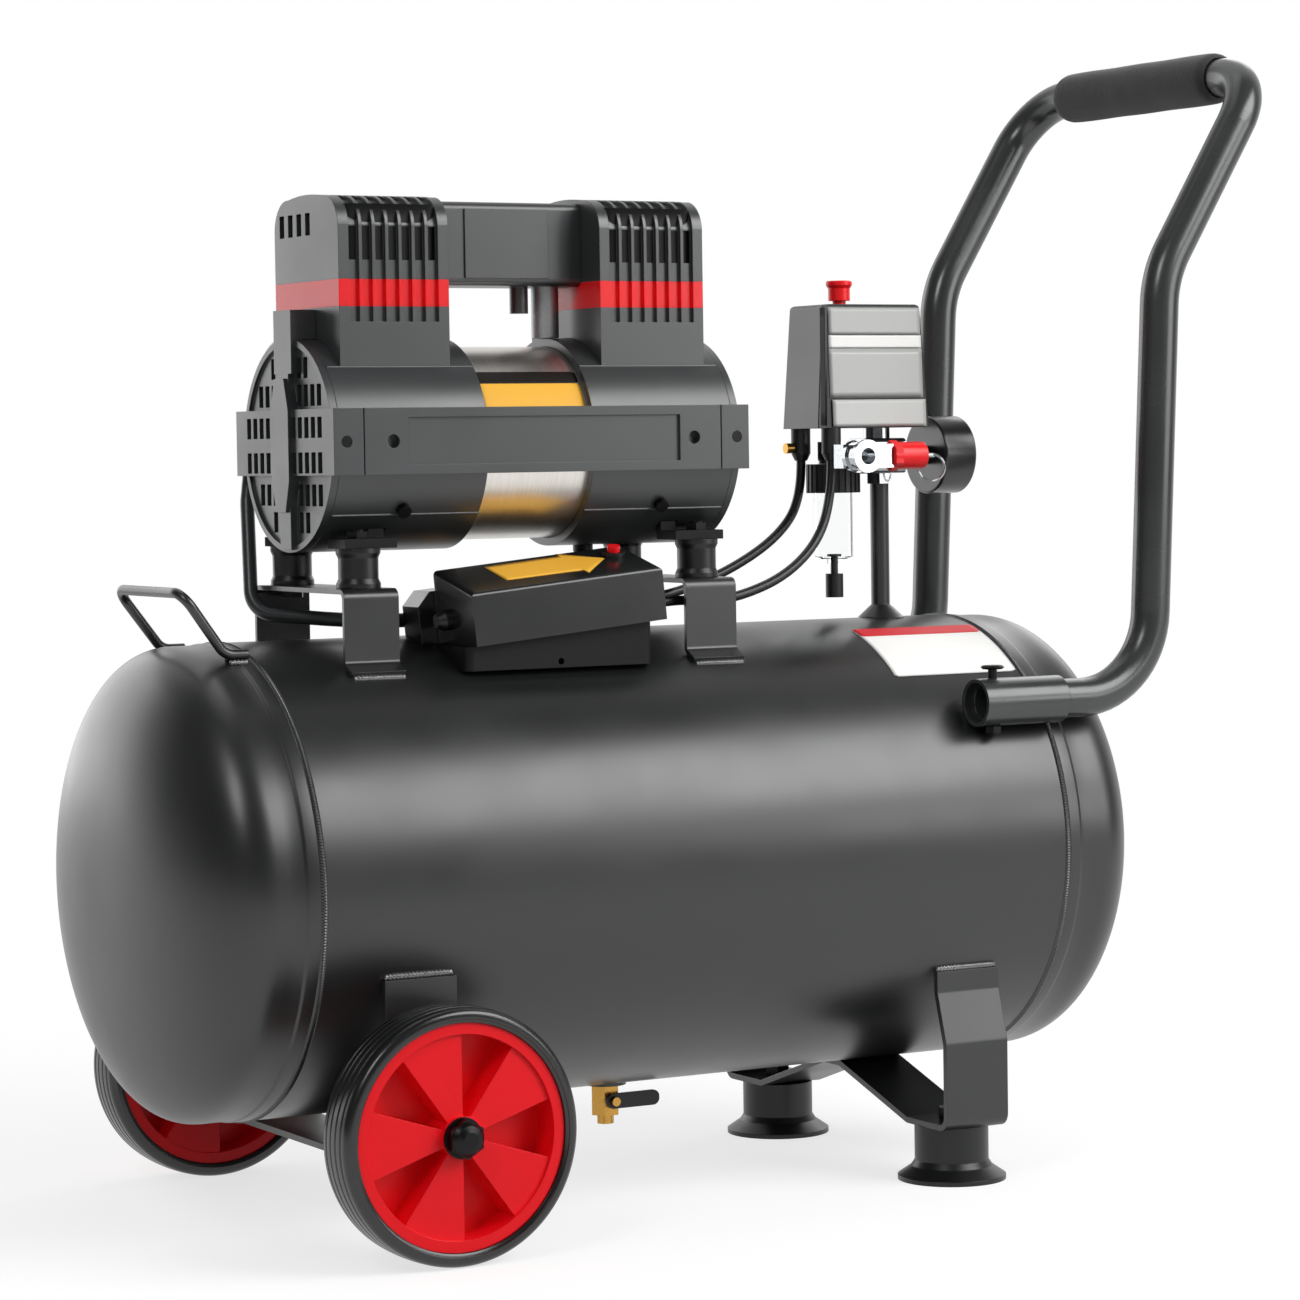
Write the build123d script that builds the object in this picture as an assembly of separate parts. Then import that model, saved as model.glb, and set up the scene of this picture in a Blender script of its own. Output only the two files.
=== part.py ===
from build123d import *
from math import asin, cos, pi, radians, sin, sqrt, tan
import os

# Portable oil-free air compressor: a horizontal 50-litre tank on two wheels and two rubber
# feet, with a twin-cylinder electric pump on rubber mounts above it, a capacitor box, a
# pressure switch with its outlet fittings, and a tubular handle at the foot end.
# Millimetres, +Z up, +X from the wheel end to the handle end, Y across the machine.
# While building, x = 0 is the tank's front weld seam and z = 0 is the floor. Every piece
# is moved at the end so that x = 0 is the middle of the whole machine's length.

# ---------------------------------------------------------------- clearances
SEAT = 0.2                  # gap at a weld or a seat on a curved face
FIT = 0.1                   # radial gap of a fixed pin or spigot in its hole
RUN = 0.05                  # radial gap of a turning or sliding shaft
PRESS = 0.02                # radial gap of a wheel or disc fixed on the shaft
SIDE_GAP = 0.4              # gap beside a face that moves past another

# ---------------------------------------------------------------- tank
TANK_R = 150.0
TANK_WALL = 2.5
TANK_LIFT = 68.3            # lowest line of the tank above the floor
SHELL_LENGTH = 535.9        # from weld seam to weld seam
DOME_FLANGE = 36.7          # straight collar of each pressed dome
DOME_DEPTH = 47.6
DOME_KNUCKLE = 30.0
DOME_WALL = 3.5
DOME_STEP = 1.0             # the collar steps in by this much
STEP_LENGTH = 12.0
SPIGOT_LENGTH = 15.0        # lip of the dome inside the shell
BEAD_HEIGHT = 0.7
BEAD_WIDTH = 4.0
TANK_Z = TANK_LIFT + TANK_R
TANK_TOP = TANK_Z + TANK_R

PORT_R = 14.0               # welded screw bosses
PORT_HEIGHT = 2.0
PORT_THREAD_R = 8.0
CHECK_VALVE_X = 160.0
DRAIN_X = 268.0

# ---------------------------------------------------------------- wheels and axle bolts
WHEEL_X = 63.0
WHEEL_R = 78.2
WHEEL_WIDTH = 28.8
TYRE_OVERHANG = 3.0         # the tyre stands out past the rim on each side
WHEEL_GAP = 18.5            # from the tank's widest line to the wheel
WHEEL_INNER_Y = TANK_R + WHEEL_GAP
RIM_R = 68.9
RIM_RING = 7.0
RIM_CHANNEL = 3.0
RIM_CHANNEL_WIDTH = 20.0
RIM_PANEL_T = 4.0           # sector panels, in turn at the outer and at the inner face
RIM_WALL = 3.0              # radial walls between the sectors
RIM_PANEL_INSET = 2.0
RIM_SECTORS = 10
TYRE_ROUND = 5.0
HUB_R = 13.0
AXLE_R = 6.0
AXLE_SLEEVE_R = 10.0
WASHER_R = 12.5
WASHER_T = 1.6
CAP_NUT_R = 12.2
CAP_NUT_HEIGHT = 10.0
CAP_NUT_HEX = 5.5           # height of its six flats
CAP_NUT_ROOF = 2.5
BOLT_HEAD_R = 10.4
BOLT_HEAD_HEIGHT = 7.0

# ---------------------------------------------------------------- straps under the tank
STRAP_T = 4.0
STRAP_WIDTH = 48.0
STRAP_BEND = 7.0
WHEEL_STRAP_DROP = 50.3     # from the tank's middle height down to the strap's end
WHEEL_STRAP_UNDER = 14.3    # from the tank's lowest line down to the strap's crossing
FOOT_FROM_SEAM = 67.4
FOOT_INSET = 39.0           # from the tank's widest line
FOOT_STRAP_DROP = 77.3
FOOT_STRAP_STRAIGHT = 14.0
FOOT_STRAP_LEG = 57.5       # from the top of the foot up to the strap's knee
FOOT_STRAP_INSET = 9.5
FOOT_STRAP_INNER = 17.0     # from the foot's bolt to the strap's rise
FOOT_STRAP_TOP_Y = 10.0
WHEEL_STRAP_WELD_Z = TANK_Z - WHEEL_STRAP_DROP
WHEEL_STRAP_CROSS_Z = TANK_LIFT - WHEEL_STRAP_UNDER
FOOT_X = SHELL_LENGTH - FOOT_FROM_SEAM
FOOT_Y = TANK_R - FOOT_INSET
FOOT_STRAP_WELD_Z = TANK_Z - FOOT_STRAP_DROP
FOOT_STRAP_BEND_Z = FOOT_STRAP_WELD_Z - FOOT_STRAP_STRAIGHT
FOOT_STRAP_Y = TANK_R - FOOT_STRAP_INSET
FOOT_STRAP_INNER_Y = FOOT_Y - FOOT_STRAP_INNER

# ---------------------------------------------------------------- rubber feet
FOOT_HEIGHT = 36.5
FOOT_FLANGE_R = 35.9
FOOT_FLANGE_T = 3.0
FOOT_FLARE_Z = 13.0
FOOT_BODY_R = 24.5
FOOT_FLARE = 2.5
BOLT_PAST_NUT = 2.0
FOOT_POCKET_R = 12.0
FOOT_POCKET_DEPTH = 14.0
FOOT_BOLT_R = 5.0
FOOT_BOLT_HEAD_R = 9.2
NUT_HEIGHT = 7.0
FOOT_STRAP_KNEE_Z = FOOT_HEIGHT + FOOT_STRAP_LEG

# ---------------------------------------------------------------- front lifting handle
FRONT_ROD_R = 3.2
FRONT_BAR_X = -48.5
FRONT_BAR_RISE = 33.7
FRONT_BAR_Z = TANK_TOP + FRONT_BAR_RISE
FRONT_BAR_HALF = 52.6
FRONT_FOOT_Y = 50.0
FRONT_FOOT_X = (-5.0, -20.0)
FRONT_BEND = 11.0

# ---------------------------------------------------------------- rear handle
HANDLE_INSET = 16.0          # from the tank's widest line to the tube's middle
HANDLE_Y = TANK_R - HANDLE_INSET
HANDLE_TUBE_R = 13.0
HANDLE_TUBE_WALL = 1.5
SOCKET_R = 15.75
SOCKET_REACH = (59.9, 5.1)  # before and past the rear weld seam
HANDLE_END_GAP = 7.0        # from the socket's mouth wall to the tube's end
HANDLE_OUT = (79.5, 92.5, 178.6)    # foot bend, knee and bar past the rear weld seam
HANDLE_UP = (228.7, 366.7)  # knee and bar above the tank's top
SOCKET_X = (SHELL_LENGTH - SOCKET_REACH[0], SHELL_LENGTH + SOCKET_REACH[1])
HANDLE_END_X = SOCKET_X[0] + HANDLE_END_GAP
HANDLE_FOOT_X = SHELL_LENGTH + HANDLE_OUT[0]
HANDLE_KNEE = (SHELL_LENGTH + HANDLE_OUT[1], TANK_TOP + HANDLE_UP[0])
HANDLE_BAR = (SHELL_LENGTH + HANDLE_OUT[2], TANK_TOP + HANDLE_UP[1])
HANDLE_BENDS = (58.0, 75.0, 42.0)
GRIP_R = 17.8
GRIP_LENGTH = 178.0
SOCKET_BOLT_INSET = 13.5
SOCKET_BOLT_X = SOCKET_X[0] + SOCKET_BOLT_INSET
SOCKET_BOLT_R = 3.0
SOCKET_BOLT_HEAD_R = 8.0
SOCKET_BOLT_HEAD_T = 2.6
SOCKET_BOLT_RISE = 8.5
SOCKET_NUT_R = 5.8           # hexagon head of the lower clamp screw
SOCKET_NUT_HEIGHT = 4.5
SCREW_TIP_GAP = 0.3         # loosened clamp screws stand off the handle's tube
SOCKET_Z = TANK_Z + sqrt((TANK_R + SOCKET_R + SEAT) ** 2 - HANDLE_Y ** 2)

# ---------------------------------------------------------------- pump mounts
MOTOR_X = 193.2
MOTOR_HALF = 148.3          # from the middle to the outer face of an end grille
MOTOR_RISE = 64.5           # from the top of a rubber mount to the shaft
MOUNT_INSET = 26.5          # from an end grille's face to a mount's axis
MOUNT_SPACING = 2 * (MOTOR_HALF - MOUNT_INSET)
MOUNT_Y = 49.7
MOUNT_R = 14.0
MOUNT_HEIGHT = 25.0
MOUNT_WAIST = 1.4
SADDLE_T = 3.0
SADDLE_WIDTH = 37.5
SADDLE_RISE = 33.2          # from the tank's top
SADDLE_TOP = TANK_TOP + SADDLE_RISE
SADDLE_LEG_Y = 66.5
SADDLE_FOOT = 12.0
SADDLE_BEND = 4.5
MOUNT_BOLT_R = 4.0
MOUNT_BOLT_HEAD_R = 7.4
MOUNT_BOLT_HEAD_HEIGHT = 5.0
LUG_T = 6.0
LUG_ROOT = 12.0             # how far the lug and its web run into the pump end
LUG_TRIM = 3.0
WEB_GAP = 0.8               # from the lug's nut to the web
WEB_TOP = 40.0              # the web ends this far under the shaft
LUG_NUT_HEIGHT = 4.5
MOUNT_TOP = SADDLE_TOP + MOUNT_HEIGHT
MOTOR_Z = MOUNT_TOP + MOTOR_RISE

# ---------------------------------------------------------------- electric motor
SHROUD_R = 67.5
SHROUD_WALL = 2.2
SHROUD_GAP = 0.3
WEB_ROOM = 1.0              # round the pump end's webs where they pass the shroud
SHROUD_LIP = 4.0            # turned-in edge that sits round the motor's band
BAND_R = 62.0
BAND_WALL = 1.0
BAND_HALF = 42.0            # steel motor casing, half its length
BAND_SHOWN = 38.0           # half the length left bare between the shrouds
STATOR_HALF = 30.0
STATOR_GAP = 0.2
WINDING_LENGTH = 10.0
WINDING_R = (38.0, 56.0)
ROTOR_R = 33.5
AIR_GAP = 0.5
SHAFT_R = 8.0
BEARING_R = 16.0
BEARING_T = 10.0
STATOR_R = BAND_R - BAND_WALL - STATOR_GAP

# ---------------------------------------------------------------- pump ends
TOWER_INSET = 55.8          # from an end grille's face to the cylinder's axis
TOWER_OFFSET = MOTOR_HALF - TOWER_INSET
CRANK_WALL = 12.0
CRANK_R = BAND_R
CRANK_CHAMBER_R = 46.0
SHAFT_ROOM = 2.0
DECK_BORE_ROOM = 1.0
CRANK_INSET = 36.3
CRANK_END = MOTOR_HALF - CRANK_INSET
DECK_HEIGHT = 50.0          # cylinder seat above the shaft
DECK_T = 11.0
DECK_X = 66.0
DECK_Y = 84.0
BORE_R = 28.0
CYLINDER_WALL = 5.0
CYLINDER_HEIGHT = 34.0
CYLINDER_FLANGE = 5.0
STROKE = 14.0
PISTON_GAP = 0.8
PISTON_T = 8.0
PISTON_TOP_GAP = 1.5
ECCENTRIC_R = 18.0
ROD_EYE_WALL = 5.0
ROD_T = 14.0
ROD_SHANK = 12.0
WEIGHT_HUB = 5.0            # wall of the counterweight's hub
WEIGHT_T = 7.0
WEIGHT_R = 38.0
VALVE_PLATE_T = 4.0
HEAD_HEIGHT = 40.0
HEAD_BASE = 8.0
HEAD_FINS = 6
HEAD_PORT_R = 4.0
HEAD_PORT_Y = 12.0
HEAD_CORE_HALF = (12.0, 11.0)
HEAD_CORE_DROP = 6.0
HEAD_PORT_START = 8.0
FIN_T = 2.4
THROW = STROKE / 2
FAN_R = 54.0
FAN_T = 12.0
FAN_GAP = 1.8               # from a fan to the grille
FAN_HUB_R = 13.0
FAN_BLADES = 8
FAN_PITCH = 35.0
BLADE_T = 2.0
BLADE_DEPTH = 0.64          # part of the fan's thickness that a blade takes up

# ---------------------------------------------------------------- covers of the pump
TOWER_WALL = 4.6
TOWER_ROOM = (0.55, 1.0)    # along and across, between a hood's wall and the cylinder head
TOWER_X = DECK_X + 2 * (TOWER_WALL + TOWER_ROOM[0])
TOWER_Y = DECK_Y + 2 * (TOWER_WALL + TOWER_ROOM[1])
HEAD_ROOM = 29.5
HEAD_BASE_Z = MOTOR_Z + DECK_HEIGHT + CYLINDER_HEIGHT + VALVE_PLATE_T
TOWER_TOP = HEAD_BASE_Z + HEAD_HEIGHT + HEAD_ROOM
TOWER_SHOULDER_DROP = 20.5
TOWER_EDGE_INSET = 21.6     # from a long face to where the crown starts
TOWER_CROWN = 1.9
SHOULDER_SWING = (0.30, 0.28)   # how round the shoulder is, across and up
TOWER_SHOULDER = TOWER_TOP - TOWER_SHOULDER_DROP
TOWER_EDGE_Y = TOWER_Y / 2 - TOWER_EDGE_INSET
TOWER_EDGE_Z = TOWER_TOP - TOWER_CROWN
TRIM_RISE = (86.0, 103.0)   # lower and upper edge above the shaft
TRIM_Z = (MOTOR_Z + TRIM_RISE[0], MOTOR_Z + TRIM_RISE[1])
TRIM_T = 3.4
GROOVES = 7
GROOVE_PITCH = 9.15
GROOVE_WIDTH = 6.9
GROOVE_DEPTH = 2.6
GROOVE_BELOW_TRIM = 9.5
GROOVE_FOOT = TRIM_Z[0] - GROOVE_BELOW_TRIM
SLOT_INSET = 0.4            # from a groove's side to the slot in it
SLOT_DROP = (42.5, 21.5)    # foot and top of the slots below the tower's top
SLOT_Z = (TOWER_TOP - SLOT_DROP[0], TOWER_TOP - SLOT_DROP[1])
SIDE_SLOTS = 4
SIDE_SLOT_WIDTH = 7.0
SIDE_SLOT_PITCH = 13.0
SIDE_SLOT_FIRST = 36.0
SIDE_SLOT_DROP = (25.5, 11.5)
SIDE_SLOT_Z = (TOWER_TOP - SIDE_SLOT_DROP[0], TOWER_TOP - SIDE_SLOT_DROP[1])
BRIDGE_HALF_Y = 22.0
BRIDGE_TUCK = 2.5           # the bridge starts this far below the trims' upper edge
BRIDGE_DROP = 3.5
BRIDGE_Z = (TRIM_Z[1] - BRIDGE_TUCK, TOWER_TOP - BRIDGE_DROP)
BRIDGE_WALL = 2.5
BRIDGE_ROUND = 5.0
BRIDGE_PANEL = (60.0, 44.0)
PANEL_RISE = 1.2
PEG_R = 6.0
PEG_LENGTH = 17.0
PEG_GAP = 4.0               # from the upright pipe
CROSSOVER_R = 6.0
CROSSOVER_ROOM = 1.0
CROSSOVER_IN = 12.0         # how far it goes into each cylinder head
CROSSOVER_RISE = 33.0       # above the foot of the cylinder heads
CROSSOVER_Z = HEAD_BASE_Z + CROSSOVER_RISE
STACK_R = 9.0               # upright pipe beside the rear tower
STACK_GAP = 6.35            # from the rear tower's hood
STACK_OFFSET = TOWER_OFFSET - TOWER_X / 2 - STACK_GAP - STACK_R

GRILLE_T = 3.0
GRILLE_INSET = 4.5
GRILLE_RIM = 4.0
FAN_OFFSET = MOTOR_HALF - GRILLE_INSET - GRILLE_T - FAN_GAP - FAN_T
GRILLE_RIM_RISE = 2.0
SPINE_HALF = 8.0
SPINE_FOOT = 2.0            # the spine starts this far inside the rim's lowest line
BOSS_WIDE = (13.0, 22.0)    # half width of the middle boss, and up to what height
BOSS_TIP = (7.0, 42.0)
BOSS_RISE = 3.0
EAR_OUT = 6.5               # from the shroud's widest line
EAR_WIDTH = 16.0
EAR_Y = SHROUD_R + EAR_OUT
EAR_INNER_Y = EAR_Y - EAR_WIDTH
EAR_T = 20.3
GRILLE_SLOT = 6.2
GRILLE_PITCH = 9.8
GRILLE_FIRST = 14.5
GRILLE_ROWS = ((4.5, 17.5), (24.5, 38.0), (42.0, 55.0))
EAR_SLOT_EDGE = 3.0
DUCT_HALF = 13.0
DUCT_FOOT = 45.0            # above the shaft
DUCT_GAP = 1.0              # under the tower's trim

PLATE_REACH = (19.0, 22.5)  # below and above the shaft
PLATE_Z = (MOTOR_Z - PLATE_REACH[0], MOTOR_Z + PLATE_REACH[1])
PLATE_WALL = 2.5
PLATE_RECESS = 2.0
PLATE_RECESS_INSET = 51.3   # from an end grille's face
PLATE_RECESS_HALF = MOTOR_HALF - PLATE_RECESS_INSET
PLATE_RECESS_EDGE = 6.0
PLATE_HOLE_R = 4.2
PLATE_HOLE_INSET = 40.8
PLATE_HOLE_OFFSET = MOTOR_HALF - PLATE_HOLE_INSET
PLATE_GAP = 0.8             # open line between the plate and an ear
SCREW_R = 2.0
SCREW_HEAD_R = 3.6
SCREW_HEAD_T = 2.0
EAR_SCREW_INSET = 8.9
EAR_SCREW_OFFSET = MOTOR_HALF - EAR_SCREW_INSET
PLATE_POST_R = 5.5
LOWER_SCREW_ANGLE = 36.8
LOWER_SCREW_R = 4.5
LOWER_SCREW_HEIGHT = 4.0

# ---------------------------------------------------------------- capacitor box
BOX_X = 133.0
BOX_FRONT_Y = -90.0
BOX_DROP = 4.3              # from the tank's top
BOX_FRONT_Z = TANK_TOP - BOX_DROP
BOX_LENGTH = 137.0
BOX_DEPTH = 54.0
BOX_FRONT_HEIGHT = 33.5
BOX_REAR_HEIGHT = 47.5
BOX_PITCH = 5.4             # degrees, rear end up
BOX_WALL = 2.2
BOX_ROUND = 3.0
HUMP_DEPTH = 22.0
HUMP_FRONT = -12.0
HUMP_SHORT = 27.4           # the hump stops this far from the box's rear end
HUMP_HEIGHT = 34.0
HUMP_CHAMFER = 9.0
TRAY_DROP = 19.9            # from the tank's top
TRAY_HEIGHT = 60.0
TRAY_FRONT = 4.5            # past the box's front end
TRAY_SHORT = 7.0
TRAY_INSET = (6.5, 52.0)    # near and far edge, from the box's near face
TRAY_ROUND = 6.0
TRAY_Z = TANK_TOP - TRAY_DROP
TRAY_X = (BOX_X - TRAY_FRONT, BOX_X + BOX_LENGTH - TRAY_SHORT)
TRAY_Y = (BOX_FRONT_Y + TRAY_INSET[0], BOX_FRONT_Y + TRAY_INSET[1])
TRAY_GAP = 0.15
CAPACITOR_R = 14.0
CAPACITOR_GAPS = (5.0, 2.0, 5.6)    # before, between and after the two cans
CAPACITOR_RATIO = 0.6       # the longer can's part of the two lengths
CAPACITOR_MIDDLE = 24.84    # from the box's near face
CAPACITOR_RUN = BOX_LENGTH - 2 * BOX_WALL - sum(CAPACITOR_GAPS)
CAPACITOR_LENGTHS = (CAPACITOR_RATIO * CAPACITOR_RUN, (1 - CAPACITOR_RATIO) * CAPACITOR_RUN)
BUTTON_INSET = 16.0         # from the box's rear end
BUTTON_X = BOX_LENGTH - BUTTON_INSET
BUTTON_Y = 34.0
BUTTON_R = 4.2
BUTTON_RISE = 6.5
BUTTON_TRAVEL = 4.0
COLLAR_R = 7.5
COLLAR_RISE = 3.0
BREAKER_R = 6.0             # its body under the collar
BREAKER_DEPTH = 13.0
BUTTON_SUNK = 5.0           # the button's foot below the collar's face
BUTTON_SPARE = 1.0          # bore left under the pressed button

# ---------------------------------------------------------------- delivery line
PIPE_R = 4.6
PIPE_WALL = 1.0
PIPE_BEND = 20.0
PIPE_OUT_INSET = 25.7       # from the cylinder's axis
PIPE_OUT_RISE = 65.0        # above the shaft
PIPE_OUT_X = MOTOR_X - TOWER_OFFSET - PIPE_OUT_INSET
PIPE_OUT_Z = MOTOR_Z + PIPE_OUT_RISE
PIPE_OUT_NUT_LENGTH = 9.0
PIPE_NUT_R = 7.5
PIPE_NUT_LENGTH = 13.0
PIPE_OUT = 12.0             # how far out it passes the side cover
PIPE_SIDE_Y = EAR_Y + PIPE_OUT
CHECK_BODY_R = 11.0
CHECK_BODY_RISE = 23.7
CHECK_BODY_TOP = TANK_TOP + CHECK_BODY_RISE

# ---------------------------------------------------------------- pressure switch
SUPPORT_INSET = 46.9        # from the rear weld seam to the support pipe
FITTING_RISE = 110.3        # from the tank's top to the fittings' line
SUPPORT_X = SHELL_LENGTH - SUPPORT_INSET
FITTING_Z = TANK_TOP + FITTING_RISE
SWITCH_REACH = (59.0, 22.5)     # before and past the support pipe
SWITCH_HALF_Y = 28.0
SWITCH_RISE = 19.1          # above the fittings' line
SWITCH_HEIGHT = 83.3
SWITCH_X = (SUPPORT_X - SWITCH_REACH[0], SUPPORT_X + SWITCH_REACH[1])
SWITCH_Z = (FITTING_Z + SWITCH_RISE, FITTING_Z + SWITCH_RISE + SWITCH_HEIGHT)
SWITCH_TAPER = 2.8          # degrees
SWITCH_WALL = 2.5
SWITCH_FACE_T = 10.0
SWITCH_SEAM = 1.2
SWITCH_ROUND = 3.0
SWITCH_SEAM_INSET = 1.5
CONTACT_INSET = 14.0
CONTACT_Y = (-12.0, 16.0)
KNOB_INSET = 30.5           # from the support pipe
KNOB_X = SUPPORT_X - KNOB_INSET
KNOB_R = 8.9
KNOB_NECK_R = 7.4
KNOB_HEIGHT = 13.5
KNOB_LIFT = 3.0
KNOB_STEM_R = 4.5
KNOB_STEM_LENGTH = 22.0
SWITCH_NECK_R = 9.0

MANIFOLD_REACH = (17.5, 14.0)
MANIFOLD_X = (SUPPORT_X - MANIFOLD_REACH[0], SUPPORT_X + MANIFOLD_REACH[1])
MANIFOLD_HALF_Y = 13.0
MANIFOLD_HALF_Z = 12.0
FILTER_OFFSET = 37.0        # from the support pipe
FILTER_X = SUPPORT_X - FILTER_OFFSET
ARM_PAST = 6.0              # the arm reaches this far past the filter's axis
ARM_HALF = 10.0
SUPPORT_R = 6.35
SUPPORT_BORE_R = 4.0
SUPPORT_NUT_R = 9.5
SUPPORT_NUT_HEIGHT = 7.0
FLARE_R = 17.0
FLARE_HEIGHT = 10.0

BRANCH_REACH = (55.0, 15.0) # its ends, both before the support pipe
BRANCH_X = (SUPPORT_X - BRANCH_REACH[0], SUPPORT_X - BRANCH_REACH[1])
BRANCH_Y = -36.0
BRANCH_HALF = (6.0, 8.0)    # across and up
BRANCH_NECK_R = 5.0
BRANCH_NECK_INSET = 6.0     # from the branch bar's rear end
BRANCH_NECK_X = BRANCH_X[1] - BRANCH_NECK_INSET
OUTLET_INSET = 9.5          # from the branch bar's front end
OUTLET_X = BRANCH_X[0] + OUTLET_INSET
COUPLING_LENGTH = 16.0
COUPLING_R = 9.5
COUPLING_FLANGE_R = 11.0
COUPLING_FLANGE_T = 4.0
COUPLING_BORE_R = 5.5
COUPLING_BORE_DEPTH = 13.0
VALVE_LENGTH = 26.0
VALVE_PIN_SHOWN = 10.0
VALVE_R = 9.2
VALVE_HEX = (10.4, 6.0)     # radius to the corners and length of its hexagon
RING_R = 9.0
RING_WIRE = 0.8
RING_TURN = 50.0            # degrees, the ring's face turned towards the side
PULL_PIN_R = 1.5

FILTER_DROP = (24.6, 5.1)   # foot and top of its head below the fittings' line
FILTER_Z = (FITTING_Z - FILTER_DROP[0], FITTING_Z - FILTER_DROP[1])
FILTER_R = 18.3
FILTER_RIBS = 24
RIB_WIDTH = 2.4
RIB_RISE = 1.0
BOWL_R = 14.0
BOWL_WALL = 2.0
BOWL_SEAT = 8.0             # depth of the head's seat for the bowl
BOWL_ROUND = 5.0
BOWL_SPIGOT_R = 5.0
BOWL_SPIGOT = 3.0
BOWL_DROP = 45.0            # from the foot of the filter's head
BOWL_FOOT = FILTER_Z[0] - BOWL_DROP
DRAIN_KNOB_R = 6.0
DRAIN_KNOB_DROP = (26.0, 9.0)   # from the bowl's foot
DRAIN_KNOB_Z = (BOWL_FOOT - DRAIN_KNOB_DROP[0], BOWL_FOOT - DRAIN_KNOB_DROP[1])
DRAIN_STEM_R = 2.5

GAUGE_OUT = 24.0            # from the manifold's rear face
GAUGE_X = MANIFOLD_X[1] + GAUGE_OUT
GAUGE_R = 26.5
GAUGE_T = 25.0
GAUGE_WALL = 2.0
GAUGE_BEZEL = 1.5
GAUGE_LENS_T = 2.0
GAUGE_LENS_INSET = 0.8
GAUGE_DIAL_DEPTH = 10.0
NEEDLE_T = 0.8
NEEDLE_LENGTH = 18.0
NEEDLE_TAIL = 7.0
NEEDLE_GAP = 2.0
NEEDLE_PIN_R = 1.0
NEEDLE_HUB_R = 3.0
GAUGE_STUB_R = 6.5
GAUGE_HEX_R = 8.5

CABLE_R = 3.2
GLAND_R = 6.6
GLAND_TIP_R = 4.2           # the cable's end stands on this flat
GLAND_TAPER = 5.0
GLAND_SPIGOT_R = 4.6
GLAND_SPIGOT = 5.0
SWITCH_GLAND_INSET = 7.0    # from the switch's front face
SWITCH_GLAND_X = SWITCH_X[0] + SWITCH_GLAND_INSET
SWITCH_GLAND_Y = (17.0, -22.0)
SWITCH_GLAND_LENGTH = 21.7
GLAND_SCREW_R = 3.5
GLAND_SCREW_LENGTH = 5.5
MOTOR_GLAND = (262.0, 8.0)
MOTOR_GLAND_LENGTH = 9.0
BOX_GLAND_LENGTH = 9.0
BOX_GLAND_LEFT = (36.0, 16.0)   # across and up in the box's own frame
BOX_GLAND_RIGHT = (36.0, 7.8)
# the leads' points: drops below the switch glands, the run out of the box, the rise to the motor
MOTOR_LEAD_DROPS = (26.0, 52.0, 75.0)
BOX_LEAD_DROPS = (20.0, 52.0, 76.0)
LEAD_SAG = 2.5
BOX_LEAD_RUN = 19.0
MOTOR_LEAD_RISE = 22.0
CABLE_LOW = 16.2            # lowest line of the leads above the tank's top

# ---------------------------------------------------------------- drain valve
DRAIN_BODY_R = 10.0
DRAIN_BODY_HEIGHT = 20.0
DRAIN_BALL_R = 5.5
DRAIN_MOUTH_R = 2.5
DRAIN_MOUTH = 6.0           # length of the outlet under the body
LEVER_PIN_R = 3.0
DRAIN_STEM_LENGTH = 6.0
LEVER_T = 2.5
LEVER_WIDTH = 10.0
LEVER_LENGTH = 34.0

# ---------------------------------------------------------------- the whole machine
LENGTH_FROM = -(DOME_FLANGE + DOME_DEPTH)
LENGTH_TO = HANDLE_BAR[0] + GRIP_R
MID_X = (LENGTH_FROM + LENGTH_TO) / 2
UP = (0, 0, 1)
DOWN = (0, 0, -1)


# ================================================================ helpers
def rod(radius, start, direction, length):
    """Cylinder from a start point along a direction."""
    return Solid.make_cylinder(radius, length, Plane(start, z_dir=direction))


def tube(outer, inner, start, direction, length):
    """Cylinder with a bore right through it."""
    return rod(outer, start, direction, length) - rod(inner, start, direction, length)


def cone(foot, top, start, direction, length):
    """Cone frustum from a start point along a direction."""
    return Solid.make_cone(foot, top, length, Plane(start, z_dir=direction))


def block(x, y, z):
    """Box between pairs of low and high coordinates."""
    return Solid.make_box(x[1] - x[0], y[1] - y[0], z[1] - z[0], Plane((x[0], y[0], z[0])))


def hexagon(radius, start, direction, length):
    """Hexagonal prism, radius measured to its corners."""
    plane = Plane(start, z_dir=direction)
    return extrude(plane * RegularPolygon(radius, 6), amount=length)


def lathe(outline, start, direction):
    """Solid turned from (radius, height) points about a line through start."""
    points = [(radius, 0, height) for radius, height in outline]
    turned = revolve(make_face(Polyline(*points, close=True)), Axis.Z, 360)
    return Plane(start, z_dir=direction).location * turned


def along(route, radius, bore=0.0):
    """Round bar, or tube, whose section follows a path."""
    section = Circle(radius) - Circle(bore) if bore else Circle(radius)
    return sweep(Plane(route @ 0, z_dir=route % 0) * section, path=route)


def strap(outline, x, width, thickness, bend):
    """Flat bar bent in a plane across the machine, from (y, z) points of its middle line."""
    route = FilletPolyline(*[(x, y, z) for y, z in outline], radius=bend)
    plane = Plane(route @ 0, x_dir=(1, 0, 0), z_dir=route % 0)
    return sweep(plane * Rectangle(width, thickness), path=route)


def outlined(*lines):
    """Face inside a closed chain of lines and arcs."""
    return make_face(Wire([edge for line in lines for edge in line.edges()]))


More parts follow.
